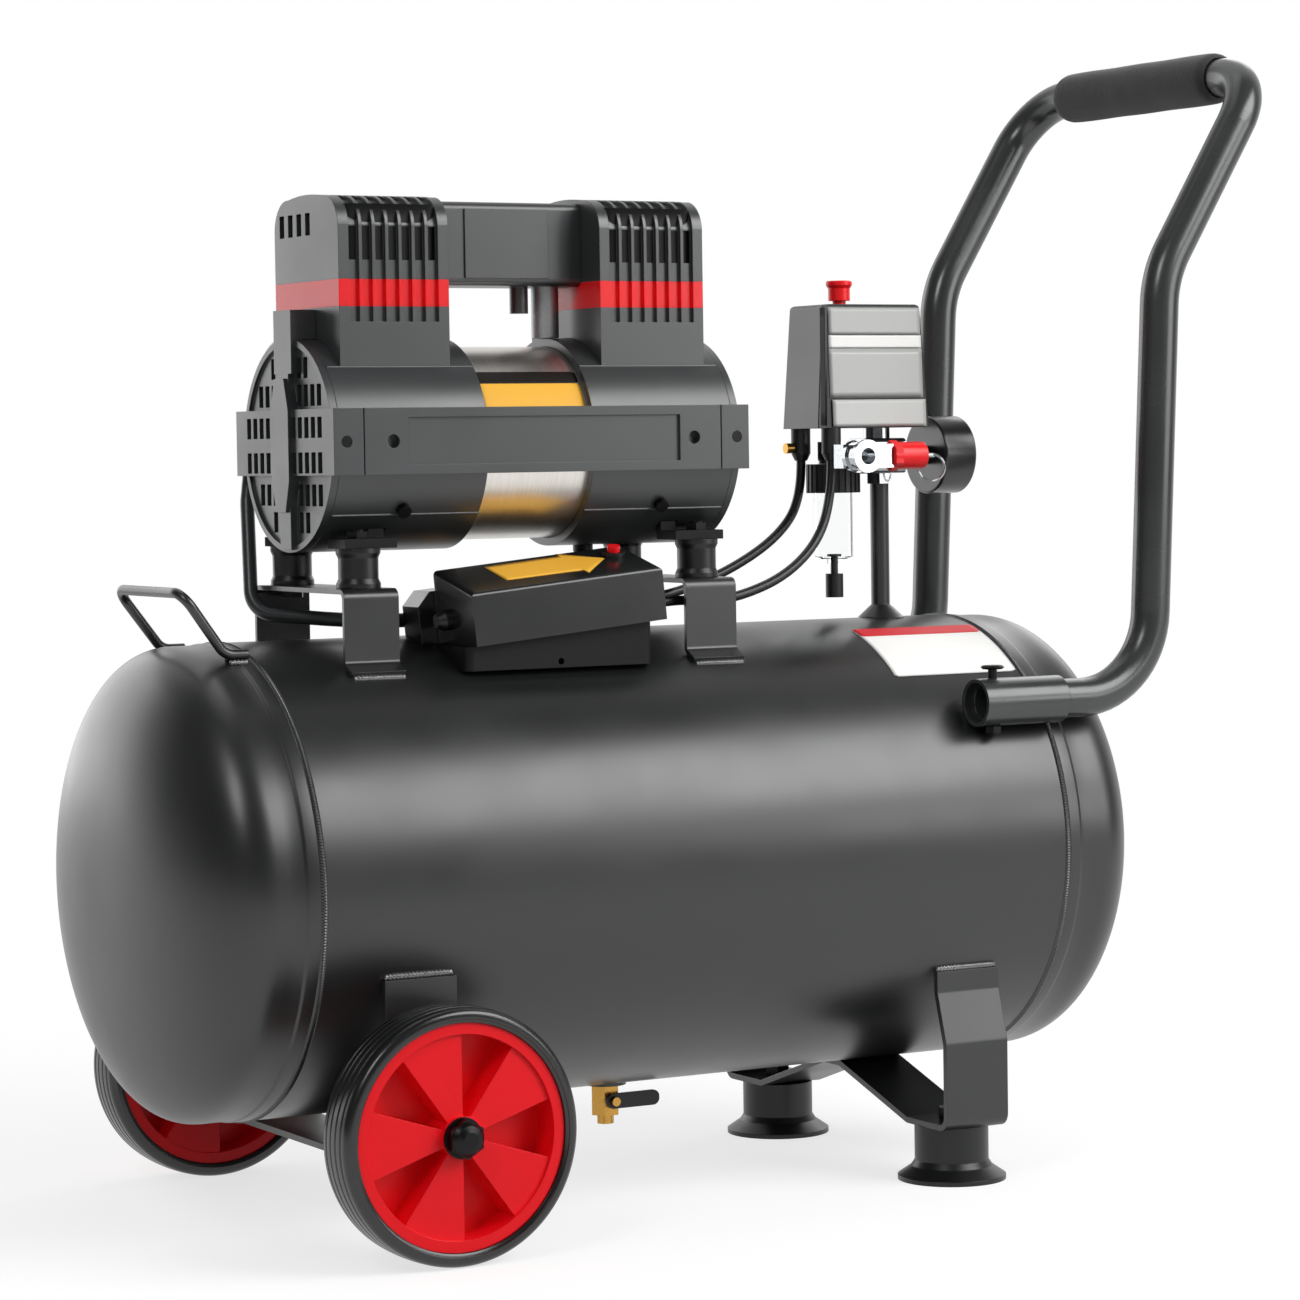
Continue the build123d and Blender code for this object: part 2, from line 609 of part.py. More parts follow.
def gland(tip, inward, length):
    """Cable gland from its flat tip to the wall that it is screwed into, with its spigot."""
    return lathe([(0, 0), (GLAND_TIP_R, 0), (GLAND_R, GLAND_TAPER), (GLAND_R, length),
                  (GLAND_SPIGOT_R, length), (GLAND_SPIGOT_R, length + GLAND_SPIGOT),
                  (0, length + GLAND_SPIGOT)], tip, inward)


def both_sides(shape):
    """A piece and its mirror image across the machine."""
    return [shape, mirror(shape, about=Plane.XZ)]


def both_ends(shape):
    """A piece of the pump and its mirror image at the pump's other end."""
    return [shape, mirror(shape, about=Plane.YZ.offset(MOTOR_X))]


def tank_body(gap=SEAT):
    """Solid a little larger than the tank, which cuts saddles in pieces that sit on it."""
    start = (LENGTH_FROM, 0, TANK_Z)
    return rod(TANK_R + gap, start, (1, 0, 0), SHELL_LENGTH - 2 * LENGTH_FROM)


def motor_rod(radius, start, end):
    """Cylinder on the pump's shaft line, between distances from the pump's middle."""
    return rod(radius, (MOTOR_X + start, 0, MOTOR_Z), (1, 0, 0), end - start)


nodes = {}


def keep(name, *shapes):
    """Files solids under the name of their piece, or of their group of like pieces."""
    nodes.setdefault(name, []).extend(solid for shape in shapes for solid in shape.solids())


# ================================================================ tank
def dome():
    """Pressed end of the tank, open towards -Z, with its seam at z = 0."""
    collar_r = TANK_R - DOME_STEP
    inner_r = collar_r - DOME_WALL
    crown_r = ((collar_r - DOME_KNUCKLE) ** 2 + DOME_DEPTH ** 2 - DOME_KNUCKLE ** 2)
    crown_r = crown_r / (2 * (DOME_DEPTH - DOME_KNUCKLE))
    spread = asin((collar_r - DOME_KNUCKLE) / (crown_r - DOME_KNUCKLE))
    crown_z = DOME_FLANGE + DOME_DEPTH - crown_r

    def crown(wall, angle):
        reach = crown_r - wall
        return (reach * sin(angle), 0, crown_z + reach * cos(angle))

    def knuckle(wall, angle):
        reach = DOME_KNUCKLE - wall
        return (collar_r - DOME_KNUCKLE + reach * sin(angle), 0, DOME_FLANGE + reach * cos(angle))

    half = (spread + radians(90)) / 2
    lip_r = TANK_R - TANK_WALL - FIT
    face = outlined(
        Polyline((inner_r, 0, DOME_FLANGE), (inner_r, 0, -SPIGOT_LENGTH), (lip_r, 0, -SPIGOT_LENGTH),
                 (lip_r, 0, 0), (TANK_R, 0, 0), (TANK_R + BEAD_HEIGHT, 0, BEAD_HEIGHT),
                 (TANK_R + BEAD_HEIGHT, 0, BEAD_WIDTH - BEAD_HEIGHT), (TANK_R, 0, BEAD_WIDTH),
                 (TANK_R, 0, STEP_LENGTH), (collar_r, 0, STEP_LENGTH + DOME_STEP),
                 (collar_r, 0, DOME_FLANGE)),
        ThreePointArc((collar_r, 0, DOME_FLANGE), knuckle(0, half), crown(0, spread)),
        ThreePointArc(crown(0, spread), crown(0, spread / 2), crown(0, 0)),
        Line(crown(0, 0), crown(DOME_WALL, 0)),
        ThreePointArc(crown(DOME_WALL, 0), crown(DOME_WALL, spread / 2), crown(DOME_WALL, spread)),
        ThreePointArc(crown(DOME_WALL, spread), knuckle(DOME_WALL, half), (inner_r, 0, DOME_FLANGE)))
    return revolve(face, Axis.Z, 360)


def make_tank():
    shell_start = (0, 0, TANK_Z)
    shell = rod(TANK_R, shell_start, (1, 0, 0), SHELL_LENGTH)
    shell += rod(PORT_R, (CHECK_VALVE_X, 0, TANK_Z), UP, TANK_R + PORT_HEIGHT)
    shell += rod(PORT_R, (DRAIN_X, 0, TANK_Z), DOWN, TANK_R + PORT_HEIGHT)
    shell -= rod(TANK_R - TANK_WALL, shell_start, (1, 0, 0), SHELL_LENGTH)
    shell -= rod(PORT_THREAD_R, (CHECK_VALVE_X, 0, TANK_Z), UP, TANK_R + PORT_HEIGHT)
    shell -= rod(PORT_THREAD_R, (DRAIN_X, 0, TANK_Z), DOWN, TANK_R + PORT_HEIGHT)
    shell -= rod(SUPPORT_R + FIT, (SUPPORT_X, 0, TANK_Z), UP, TANK_R + PORT_HEIGHT)
    keep("tank_shell", shell)
    keep("tank_domes", Plane((0, 0, TANK_Z), z_dir=(-1, 0, 0)).location * dome(),
         Plane((SHELL_LENGTH, 0, TANK_Z), z_dir=(1, 0, 0)).location * dome())


# ================================================================ wheels, feet and straps
WHEEL_STRAP_Y = sqrt(TANK_R ** 2 - (WHEEL_STRAP_WELD_Z - TANK_Z) ** 2) + SEAT + STRAP_T / 2
FOOT_WELD_Y = sqrt(TANK_R ** 2 - (FOOT_STRAP_WELD_Z - TANK_Z) ** 2) + SEAT + STRAP_T / 2
FOOT_STRAP_Z = FOOT_HEIGHT + STRAP_T / 2


def make_straps():
    half = [(-WHEEL_STRAP_Y, WHEEL_STRAP_WELD_Z), (-WHEEL_STRAP_Y, WHEEL_STRAP_CROSS_Z)]
    axle = strap(half + [(-y, z) for y, z in reversed(half)], WHEEL_X, STRAP_WIDTH, STRAP_T, STRAP_BEND)
    axle -= rod(AXLE_R + FIT, (WHEEL_X, -TANK_R, WHEEL_R), (0, 1, 0), 2 * TANK_R)
    half = [(-FOOT_WELD_Y, FOOT_STRAP_WELD_Z), (-FOOT_WELD_Y, FOOT_STRAP_BEND_Z),
            (-FOOT_STRAP_Y, FOOT_STRAP_KNEE_Z), (-FOOT_STRAP_Y, FOOT_STRAP_Z),
            (-FOOT_STRAP_INNER_Y, FOOT_STRAP_Z),
            (-FOOT_STRAP_TOP_Y, TANK_LIFT - SEAT - STRAP_T / 2)]
    foot = strap(half + [(-y, z) for y, z in reversed(half)], FOOT_X, STRAP_WIDTH, STRAP_T, STRAP_BEND)
    for side in (-1, 1):
        foot -= rod(FOOT_BOLT_R + FIT, (FOOT_X, side * FOOT_Y, 0), UP, FOOT_HEIGHT + 2 * STRAP_T)
    keep("leg_straps", axle, foot)


def axle_set():
    """Bolt, spacer sleeve, washer and cap nut of the wheel on the -Y side."""
    out = (0, -1, 0)
    seat_y = WHEEL_STRAP_Y - STRAP_T / 2
    hub_y = WHEEL_INNER_Y - SIDE_GAP
    washer_y = WHEEL_INNER_Y + WHEEL_WIDTH + SIDE_GAP
    nut_y = washer_y + WASHER_T

    def spot(y):
        return (WHEEL_X, -y, WHEEL_R)

    bolt = hexagon(BOLT_HEAD_R, spot(seat_y - BOLT_HEAD_HEIGHT), out, BOLT_HEAD_HEIGHT)
    bolt += rod(AXLE_R, spot(seat_y - BOLT_HEAD_HEIGHT), out,
                nut_y + CAP_NUT_HEIGHT - CAP_NUT_ROOF - 0.5 - seat_y + BOLT_HEAD_HEIGHT)
    strap_y = WHEEL_STRAP_Y + STRAP_T / 2
    sleeve = tube(AXLE_SLEEVE_R, AXLE_R + FIT, spot(strap_y), out, hub_y - strap_y)
    washer = tube(WASHER_R, AXLE_R + FIT, spot(washer_y), out, WASHER_T)
    dome_r = CAP_NUT_R * cos(radians(30))
    nut = hexagon(CAP_NUT_R, spot(nut_y), out, CAP_NUT_HEX)
    high = CAP_NUT_HEIGHT
    nut += lathe([(0, 0), (dome_r, 0), (dome_r, high * 0.6), (dome_r * 0.8, high * 0.85),
                  (dome_r * 0.45, high), (0, high)], spot(nut_y), out)
    nut -= rod(AXLE_R + FIT, spot(nut_y), out, CAP_NUT_HEIGHT - CAP_NUT_ROOF)
    return bolt, sleeve, washer, nut


def wheel(side):
    """Rim and tyre of one wheel, with the sectors' first edge straight up."""
    place = Plane((WHEEL_X, side * WHEEL_INNER_Y, WHEEL_R), x_dir=UP, z_dir=(0, side, 0)).location
    middle = WHEEL_WIDTH / 2
    ring_r = RIM_R - RIM_RING
    rim = Cylinder(RIM_R, WHEEL_WIDTH) - Cylinder(ring_r, WHEEL_WIDTH)
    rim -= Cylinder(RIM_R, RIM_CHANNEL_WIDTH) - Cylinder(RIM_R - RIM_CHANNEL, RIM_CHANNEL_WIDTH)
    rim += Cylinder(HUB_R, WHEEL_WIDTH)
    edge = WHEEL_WIDTH / 2
    deep = edge - RIM_PANEL_INSET
    step = 360 / RIM_SECTORS
    for k in range(RIM_SECTORS):
        level = deep - RIM_PANEL_T if k % 2 == 0 else -deep
        wedge = Solid.make_cylinder(ring_r + 1, RIM_PANEL_T, Plane((0, 0, level)), step)
        rim += Rot(0, 0, k * step) * wedge
        wall = block((0, ring_r + 1), (-RIM_WALL / 2, RIM_WALL / 2), (-deep, deep))
        rim += Rot(0, 0, k * step) * wall
    rim -= Cylinder(AXLE_R + RUN, WHEEL_WIDTH)
    edge += TYRE_OVERHANG
    bead = RIM_CHANNEL_WIDTH / 2 - FIT
    outline = [(RIM_R + FIT, -edge), (WHEEL_R - TYRE_ROUND, -edge), (WHEEL_R, -edge + TYRE_ROUND),
               (WHEEL_R, edge - TYRE_ROUND), (WHEEL_R - TYRE_ROUND, edge), (RIM_R + FIT, edge),
               (RIM_R + FIT, bead), (RIM_R - RIM_CHANNEL + FIT, bead),
               (RIM_R - RIM_CHANNEL + FIT, -bead), (RIM_R + FIT, -bead)]
    lines = Polyline(*[(r, 0, z) for r, z in outline], close=True)
    face = make_face(lines)
    corners = [v for v in face.vertices() if v.X > WHEEL_R - TYRE_ROUND - 0.01]
    tyre = revolve(fillet(corners, TYRE_ROUND * 0.9), Axis.Z, 360)
    raise_by = Pos(0, 0, middle)
    return place * raise_by * rim, place * raise_by * tyre


def make_wheels():
    for side, name in ((-1, "left"), (1, "right")):
        rim, tyre = wheel(side)
        keep(name + "_wheel_rim", rim)
        keep(name + "_tyre", tyre)
    keep("frame_bolts", *[piece for part in axle_set() for piece in both_sides(part)])


def make_feet():
    base = (FOOT_X, -FOOT_Y, 0)
    foot = lathe([(FOOT_BOLT_R + FIT, FOOT_POCKET_DEPTH), (FOOT_POCKET_R, FOOT_POCKET_DEPTH),
                  (FOOT_POCKET_R, 0), (FOOT_FLANGE_R, 0), (FOOT_FLANGE_R, FOOT_FLANGE_T),
                  (FOOT_BODY_R + FOOT_FLARE, FOOT_FLARE_Z * 0.7), (FOOT_BODY_R, FOOT_FLARE_Z),
                  (FOOT_BODY_R, FOOT_HEIGHT), (FOOT_BOLT_R + FIT, FOOT_HEIGHT)], base, UP)
    keep("rubber_feet", *both_sides(foot))
    head = (FOOT_X, -FOOT_Y, FOOT_POCKET_DEPTH - NUT_HEIGHT)
    nut_z = FOOT_HEIGHT + STRAP_T
    bolt = hexagon(FOOT_BOLT_HEAD_R, head, UP, NUT_HEIGHT)
    bolt += rod(FOOT_BOLT_R, head, UP, nut_z + NUT_HEIGHT + BOLT_PAST_NUT - head[2])
    nut = hexagon(FOOT_BOLT_HEAD_R, (FOOT_X, -FOOT_Y, nut_z), UP, NUT_HEIGHT)
    nut -= rod(FOOT_BOLT_R + FIT, (FOOT_X, -FOOT_Y, nut_z), UP, NUT_HEIGHT)
    keep("frame_bolts", *both_sides(bolt), *both_sides(nut))


# ================================================================ handles
def make_handles():
    foot_z = TANK_Z + sqrt((TANK_R + FRONT_ROD_R + SEAT) ** 2 - FRONT_FOOT_Y ** 2)
    half = [(FRONT_FOOT_X[0], -FRONT_FOOT_Y, foot_z), (FRONT_FOOT_X[1], -FRONT_FOOT_Y, foot_z),
            (FRONT_BAR_X, -FRONT_BAR_HALF, FRONT_BAR_Z)]
    route = FilletPolyline(*half, *[(x, -y, z) for x, y, z in reversed(half)], radius=FRONT_BEND)
    keep("front_handle", along(route, FRONT_ROD_R))

    half = [(HANDLE_END_X, -HANDLE_Y, SOCKET_Z), (HANDLE_FOOT_X, -HANDLE_Y, SOCKET_Z),
            (HANDLE_KNEE[0], -HANDLE_Y, HANDLE_KNEE[1]), (HANDLE_BAR[0], -HANDLE_Y, HANDLE_BAR[1])]
    bends = HANDLE_BENDS + HANDLE_BENDS[::-1]
    route = FilletPolyline(*half, *[(x, -y, z) for x, y, z in reversed(half)], radius=list(bends))
    handle = along(route, HANDLE_TUBE_R, HANDLE_TUBE_R - HANDLE_TUBE_WALL)
    grip_start = (HANDLE_BAR[0], -GRIP_LENGTH / 2, HANDLE_BAR[1])
    keep("handle_grip", tube(GRIP_R, HANDLE_TUBE_R + SEAT, grip_start, (0, 1, 0), GRIP_LENGTH))

    socket_start = (SOCKET_X[0], -HANDLE_Y, SOCKET_Z)
    socket = tube(SOCKET_R, HANDLE_TUBE_R + SEAT, socket_start, (1, 0, 0), SOCKET_X[1] - SOCKET_X[0])
    socket -= rod(TANK_R + BEAD_HEIGHT + SEAT, (SHELL_LENGTH - SEAT, 0, TANK_Z), (1, 0, 0), BEAD_WIDTH + 2)
    tip_r = HANDLE_TUBE_R + SCREW_TIP_GAP
    top = SOCKET_R + SOCKET_BOLT_RISE - SOCKET_BOLT_HEAD_T
    seat = (SOCKET_BOLT_X, -HANDLE_Y, SOCKET_Z)
    socket -= rod(SOCKET_BOLT_R + FIT, (*seat[:2], SOCKET_Z - SOCKET_R), UP, 2 * SOCKET_R)
    keep("rear_handle", handle)
    keep("handle_sockets", *both_sides(socket))
    screw = rod(SOCKET_BOLT_R, (*seat[:2], SOCKET_Z + tip_r), UP, top - tip_r)
    screw += lathe([(0, 0), (SOCKET_BOLT_HEAD_R * 0.8, 0), (SOCKET_BOLT_HEAD_R, SOCKET_BOLT_HEAD_T * 0.5),
                    (SOCKET_BOLT_HEAD_R * 0.8, SOCKET_BOLT_HEAD_T), (0, SOCKET_BOLT_HEAD_T)],
                   (*seat[:2], SOCKET_Z + top), UP)
    lower = rod(SOCKET_BOLT_R, (*seat[:2], SOCKET_Z - tip_r), DOWN, SOCKET_R + SEAT - tip_r)
    lower += hexagon(SOCKET_NUT_R, (*seat[:2], SOCKET_Z - SOCKET_R - SEAT), DOWN, SOCKET_NUT_HEIGHT)
    keep("frame_bolts", *both_sides(screw), *both_sides(lower))


# ================================================================ pump mounts
MOUNT_XS = (MOTOR_X - MOUNT_SPACING / 2, MOTOR_X + MOUNT_SPACING / 2)
MOUNT_SPOTS = [(x, y) for x in MOUNT_XS for y in (-MOUNT_Y, MOUNT_Y)]


def make_mounts():
    reach = TANK_R + SEAT + 0.15 + SADDLE_T / 2
    lean = asin(SADDLE_LEG_Y / reach)
    toe = lean + SADDLE_FOOT / reach
    half = [(-reach * sin(toe), TANK_Z + reach * cos(toe)), (-SADDLE_LEG_Y, TANK_Z + reach * cos(lean)),
            (-SADDLE_LEG_Y, SADDLE_TOP - SADDLE_T / 2)]
    outline = half + [(-y, z) for y, z in reversed(half)]
    saddles = []
    for x in MOUNT_XS:
        saddle = strap(outline, x, SADDLE_WIDTH, SADDLE_T, SADDLE_BEND)
        for y in (-MOUNT_Y, MOUNT_Y):
            saddle -= rod(MOUNT_BOLT_R + FIT, (x, y, SADDLE_TOP - 2 * SADDLE_T), UP, 3 * SADDLE_T)
        saddles.append(saddle)
    keep("motor_saddles", *saddles)

    waist_r = MOUNT_R - MOUNT_WAIST
    mounts, bolts = [], []
    lug_top = MOUNT_TOP + LUG_T
    for x, y in MOUNT_SPOTS:
        mounts.append(lathe([(MOUNT_BOLT_R + FIT, 0), (MOUNT_R, 0), (MOUNT_R, 3), (waist_r, 6),
                             (waist_r, MOUNT_HEIGHT - 6), (MOUNT_R, MOUNT_HEIGHT - 3),
                             (MOUNT_R, MOUNT_HEIGHT), (MOUNT_BOLT_R + FIT, MOUNT_HEIGHT)],
                            (x, y, SADDLE_TOP), UP))
        head = (x, y, SADDLE_TOP - SADDLE_T - MOUNT_BOLT_HEAD_HEIGHT)
        bolt = hexagon(MOUNT_BOLT_HEAD_R, head, UP, MOUNT_BOLT_HEAD_HEIGHT)
        bolt += rod(MOUNT_BOLT_R, head, UP, lug_top + LUG_NUT_HEIGHT + 1 - head[2])
        nut = hexagon(MOUNT_BOLT_HEAD_R, (x, y, lug_top), UP, LUG_NUT_HEIGHT)
        nut -= rod(MOUNT_BOLT_R + FIT, (x, y, lug_top), UP, LUG_NUT_HEIGHT)
        bolts += [bolt, nut]
    keep("rubber_mounts", *mounts)
    keep("frame_bolts", *bolts)


# ================================================================ motor and crank drive
TOWER_XS = {"front": MOTOR_X - TOWER_OFFSET, "rear": MOTOR_X + TOWER_OFFSET}
CRANK_START = BAND_HALF + 0.3


def crankcase():
    """Aluminium pump end at the front: bearing wall, crank chamber, cylinder deck and two lugs."""
    case = motor_rod(CRANK_R, -CRANK_END, -CRANK_START)
    axis_x = MOTOR_X - TOWER_OFFSET
    deck_x = (axis_x - DECK_X / 2, axis_x + DECK_X / 2 + SIDE_GAP)
    deck_z = (MOTOR_Z + DECK_HEIGHT - DECK_T, MOTOR_Z + DECK_HEIGHT)
    case -= block((0, deck_x[1]), (-CRANK_R, CRANK_R), (deck_z[1], MOTOR_Z + CRANK_R + 1))
    case += block(deck_x, (-DECK_Y / 2, DECK_Y / 2), deck_z)
    lug_x = (MOUNT_XS[0] - MOUNT_R, MOTOR_X - CRANK_END + LUG_ROOT)
    lug_y = (MOUNT_Y - MOUNT_R, MOUNT_Y + MOUNT_R - LUG_TRIM)
    web_y = (lug_y[0], MOUNT_Y - MOUNT_BOLT_HEAD_R - WEB_GAP)
    for side in (-1, 1):
        lug = block(lug_x, lug_y, (MOUNT_TOP, MOUNT_TOP + LUG_T))
        lug += block((MOTOR_X - CRANK_END + 1, lug_x[1]), web_y, (MOUNT_TOP, MOTOR_Z - WEB_TOP))
        lug -= rod(MOUNT_BOLT_R + FIT, (MOUNT_XS[0], MOUNT_Y, MOUNT_TOP), UP, LUG_T)
        case += lug if side > 0 else mirror(lug, about=Plane.XZ)
    chamber_end = -(CRANK_START + CRANK_WALL)
    case -= motor_rod(CRANK_CHAMBER_R, -CRANK_END, chamber_end)
    case -= motor_rod(BEARING_R + FIT, -(CRANK_START + BEARING_T), -CRANK_START)
    case -= motor_rod(SHAFT_R + SHAFT_ROOM, chamber_end, -CRANK_START)
    case -= rod(BORE_R + DECK_BORE_ROOM, (axis_x, 0, MOTOR_Z), UP, DECK_HEIGHT)
    return case


def make_motor():
    band = motor_rod(BAND_R, -BAND_HALF, BAND_HALF) - motor_rod(BAND_R - BAND_WALL, -BAND_HALF, BAND_HALF)
    keep("motor_casing", band)
    core_r = ROTOR_R + AIR_GAP
    core = motor_rod(STATOR_R, -STATOR_HALF, STATOR_HALF) - motor_rod(core_r, -STATOR_HALF, STATOR_HALF)
    winding = motor_rod(WINDING_R[1], -STATOR_HALF - WINDING_LENGTH, -STATOR_HALF)
    winding -= motor_rod(WINDING_R[0], -STATOR_HALF - WINDING_LENGTH, -STATOR_HALF)
    keep("stator", core, *both_ends(winding))
    keep("crankcases", *both_ends(crankcase()))
    start = CRANK_START
    bearing = motor_rod(BEARING_R, -start - BEARING_T, -start)
    bearing -= motor_rod(SHAFT_R + RUN, -start - BEARING_T, -start)
    keep("shaft_bearings", *both_ends(bearing))


def eccentric(lift):
    """Disc and counterweight on the shaft at the front pump end, its disc lifted off centre."""
    face = -TOWER_OFFSET - ROD_T / 2
    disc = rod(ECCENTRIC_R, (MOTOR_X + face, 0, MOTOR_Z + lift), (1, 0, 0), ROD_T)
    weight = motor_rod(WEIGHT_R, face - WEIGHT_T, face)
    below = (MOTOR_Z - WEIGHT_R, MOTOR_Z) if lift > 0 else (MOTOR_Z, MOTOR_Z + WEIGHT_R)
    weight &= block((0, MOTOR_X), (-WEIGHT_R, WEIGHT_R), below)
    weight += motor_rod(SHAFT_R + WEIGHT_HUB, face - WEIGHT_T, face)
    return disc + weight - motor_rod(SHAFT_R + PRESS, face - WEIGHT_T, face + ROD_T)


def fan():
    """Axial fan of the front pump end."""
    wheel_of = motor_rod(FAN_HUB_R, -FAN_OFFSET - FAN_T, -FAN_OFFSET)
    for k in range(FAN_BLADES):
        blade = Box(BLADE_T, BLADE_DEPTH * FAN_T / cos(radians(FAN_PITCH)), FAN_R - FAN_HUB_R + 2)
        blade = Pos(0, 0, (FAN_R + FAN_HUB_R - 2) / 2) * Rot(0, 0, FAN_PITCH) * blade
        centre = Pos(MOTOR_X - FAN_OFFSET - FAN_T / 2, 0, MOTOR_Z)
        wheel_of += centre * Rot(k * 360 / FAN_BLADES, 0, 0) * blade
    return wheel_of - motor_rod(SHAFT_R + PRESS, -FAN_OFFSET - FAN_T, -FAN_OFFSET)


def piston_rod(x, lift):
    """Connecting rod with its fixed piston head; the head is narrow enough to circle in the bore."""
    centre = MOTOR_Z + lift
    eye_r = ECCENTRIC_R + RUN + ROD_EYE_WALL
    span = (x - ROD_T / 2 + SIDE_GAP, x + ROD_T / 2 - SIDE_GAP)
    head_z = MOTOR_Z + DECK_HEIGHT + CYLINDER_HEIGHT - PISTON_TOP_GAP - PISTON_T - THROW + lift
    piston = rod(eye_r, (span[0], 0, centre), (1, 0, 0), span[1] - span[0])
    piston += block(span, (-ROD_SHANK / 2, ROD_SHANK / 2), (centre, head_z + 1))
    piston -= rod(ECCENTRIC_R + RUN, (x - ROD_T / 2, 0, centre), (1, 0, 0), ROD_T)
    head = rod(BORE_R - PISTON_GAP, (x, -THROW, head_z), UP, PISTON_T)
    head &= rod(BORE_R - PISTON_GAP, (x, THROW, head_z), UP, PISTON_T)
    return piston + head


def make_drive():
    shaft_half = FAN_OFFSET + FAN_T
    shaft = motor_rod(SHAFT_R, -shaft_half, shaft_half)
    keep("rotor", shaft + motor_rod(ROTOR_R, -STATOR_HALF, STATOR_HALF))
    rear = mirror(eccentric(-THROW), about=Plane.YZ.offset(MOTOR_X))
    keep("eccentrics", eccentric(THROW), rear)
    keep("cooling_fans", *both_ends(fan()))
    keep("front_piston", piston_rod(TOWER_XS["front"], THROW))
    keep("rear_piston", piston_rod(TOWER_XS["rear"], -THROW))


# ================================================================ cylinders and heads
CYLINDER_Z = MOTOR_Z + DECK_HEIGHT
PLATE_BASE = CYLINDER_Z + CYLINDER_HEIGHT


def make_cylinders():
    x = TOWER_XS["front"]
    half_x, half_y = DECK_X / 2, DECK_Y / 2
    liner = rod(BORE_R + CYLINDER_WALL, (x, 0, CYLINDER_Z), UP, CYLINDER_HEIGHT)
    for z in (CYLINDER_Z, PLATE_BASE - CYLINDER_FLANGE):
        liner += block((x - half_x, x + half_x), (-half_y, half_y), (z, z + CYLINDER_FLANGE))
    liner -= rod(BORE_R, (x, 0, CYLINDER_Z), UP, CYLINDER_HEIGHT)
    keep("cylinders", *both_ends(liner))
    plate = block((x - half_x, x + half_x), (-half_y, half_y), (PLATE_BASE, HEAD_BASE_Z))
    for y in (-HEAD_PORT_Y, HEAD_PORT_Y):
        plate -= rod(HEAD_PORT_R, (x, y, PLATE_BASE), UP, VALVE_PLATE_T)
    head = block((x - half_x, x + half_x), (-half_y, half_y), (HEAD_BASE_Z, HEAD_BASE_Z + HEAD_HEIGHT))
    gap = (DECK_Y - HEAD_FINS * FIN_T) / (HEAD_FINS - 1)
    for k in range(HEAD_FINS - 1):
        y = -half_y + FIN_T + k * (gap + FIN_T)
        head -= block((x - half_x, x + half_x), (y, y + gap), (HEAD_BASE_Z + HEAD_BASE, TOWER_TOP))
    core_x, core_y = HEAD_CORE_HALF
    core = block((x - core_x, x + half_x), (-core_y, core_y),
                 (HEAD_BASE_Z, HEAD_BASE_Z + HEAD_HEIGHT - HEAD_CORE_DROP))
    port = rod(CROSSOVER_R + FIT, (x + HEAD_PORT_START, 0, CROSSOVER_Z), (1, 0, 0), half_x)
    keep("cylinder_heads", *both_ends(plate), *both_ends(head + core - port))


# ================================================================ plastic covers
def tower_outline(inset):
    """Side view of a tower's hood, drawn inset from its outer face."""
    y, foot = TOWER_Y / 2 - inset, MOTOR_Z
    edge_y, edge_z, top = TOWER_EDGE_Y, TOWER_EDGE_Z - inset, TOWER_TOP - inset
    swing, sink = SHOULDER_SWING
    shoulder = (y - swing * (TOWER_Y / 2 - TOWER_EDGE_Y), edge_z - sink * (TOWER_EDGE_Z - TOWER_SHOULDER))
    return outlined(
        Polyline((0, -y, TOWER_SHOULDER), (0, -y, foot), (0, y, foot), (0, y, TOWER_SHOULDER)),
        ThreePointArc((0, y, TOWER_SHOULDER), (0, shoulder[0], shoulder[1]), (0, edge_y, edge_z)),
        ThreePointArc((0, edge_y, edge_z), (0, 0, top), (0, -edge_y, edge_z)),
        ThreePointArc((0, -edge_y, edge_z), (0, -shoulder[0], shoulder[1]), (0, -y, TOWER_SHOULDER)))


def tower_solid(inset):
    """Filled hood of the front tower, inset from the outer face all round."""
    half = TOWER_X / 2 - inset
    face = Pos(TOWER_XS["front"] - half, 0, 0) * tower_outline(inset)
    return extrude(face, amount=2 * half, dir=(1, 0, 0))


def groove_cutter():
    """The upright grooves on both long faces of the front tower, over the top edge."""
    skin = tower_solid(0) - tower_solid(GROOVE_DEPTH)
    tall = (GROOVE_FOOT, TOWER_TOP + 1)
    outer = TOWER_Y / 2 + 1
    cutters = None
    for k in range(GROOVES):
        x = TOWER_XS["front"] + (k - (GROOVES - 1) / 2) * GROOVE_PITCH
        span = (x - GROOVE_WIDTH / 2, x + GROOVE_WIDTH / 2)
        for side in ((-outer, -TOWER_EDGE_Y + 6), (TOWER_EDGE_Y - 6, outer)):
            piece = block(span, side, tall)
            cutters = piece if cutters is None else cutters + piece
    return cutters & skin


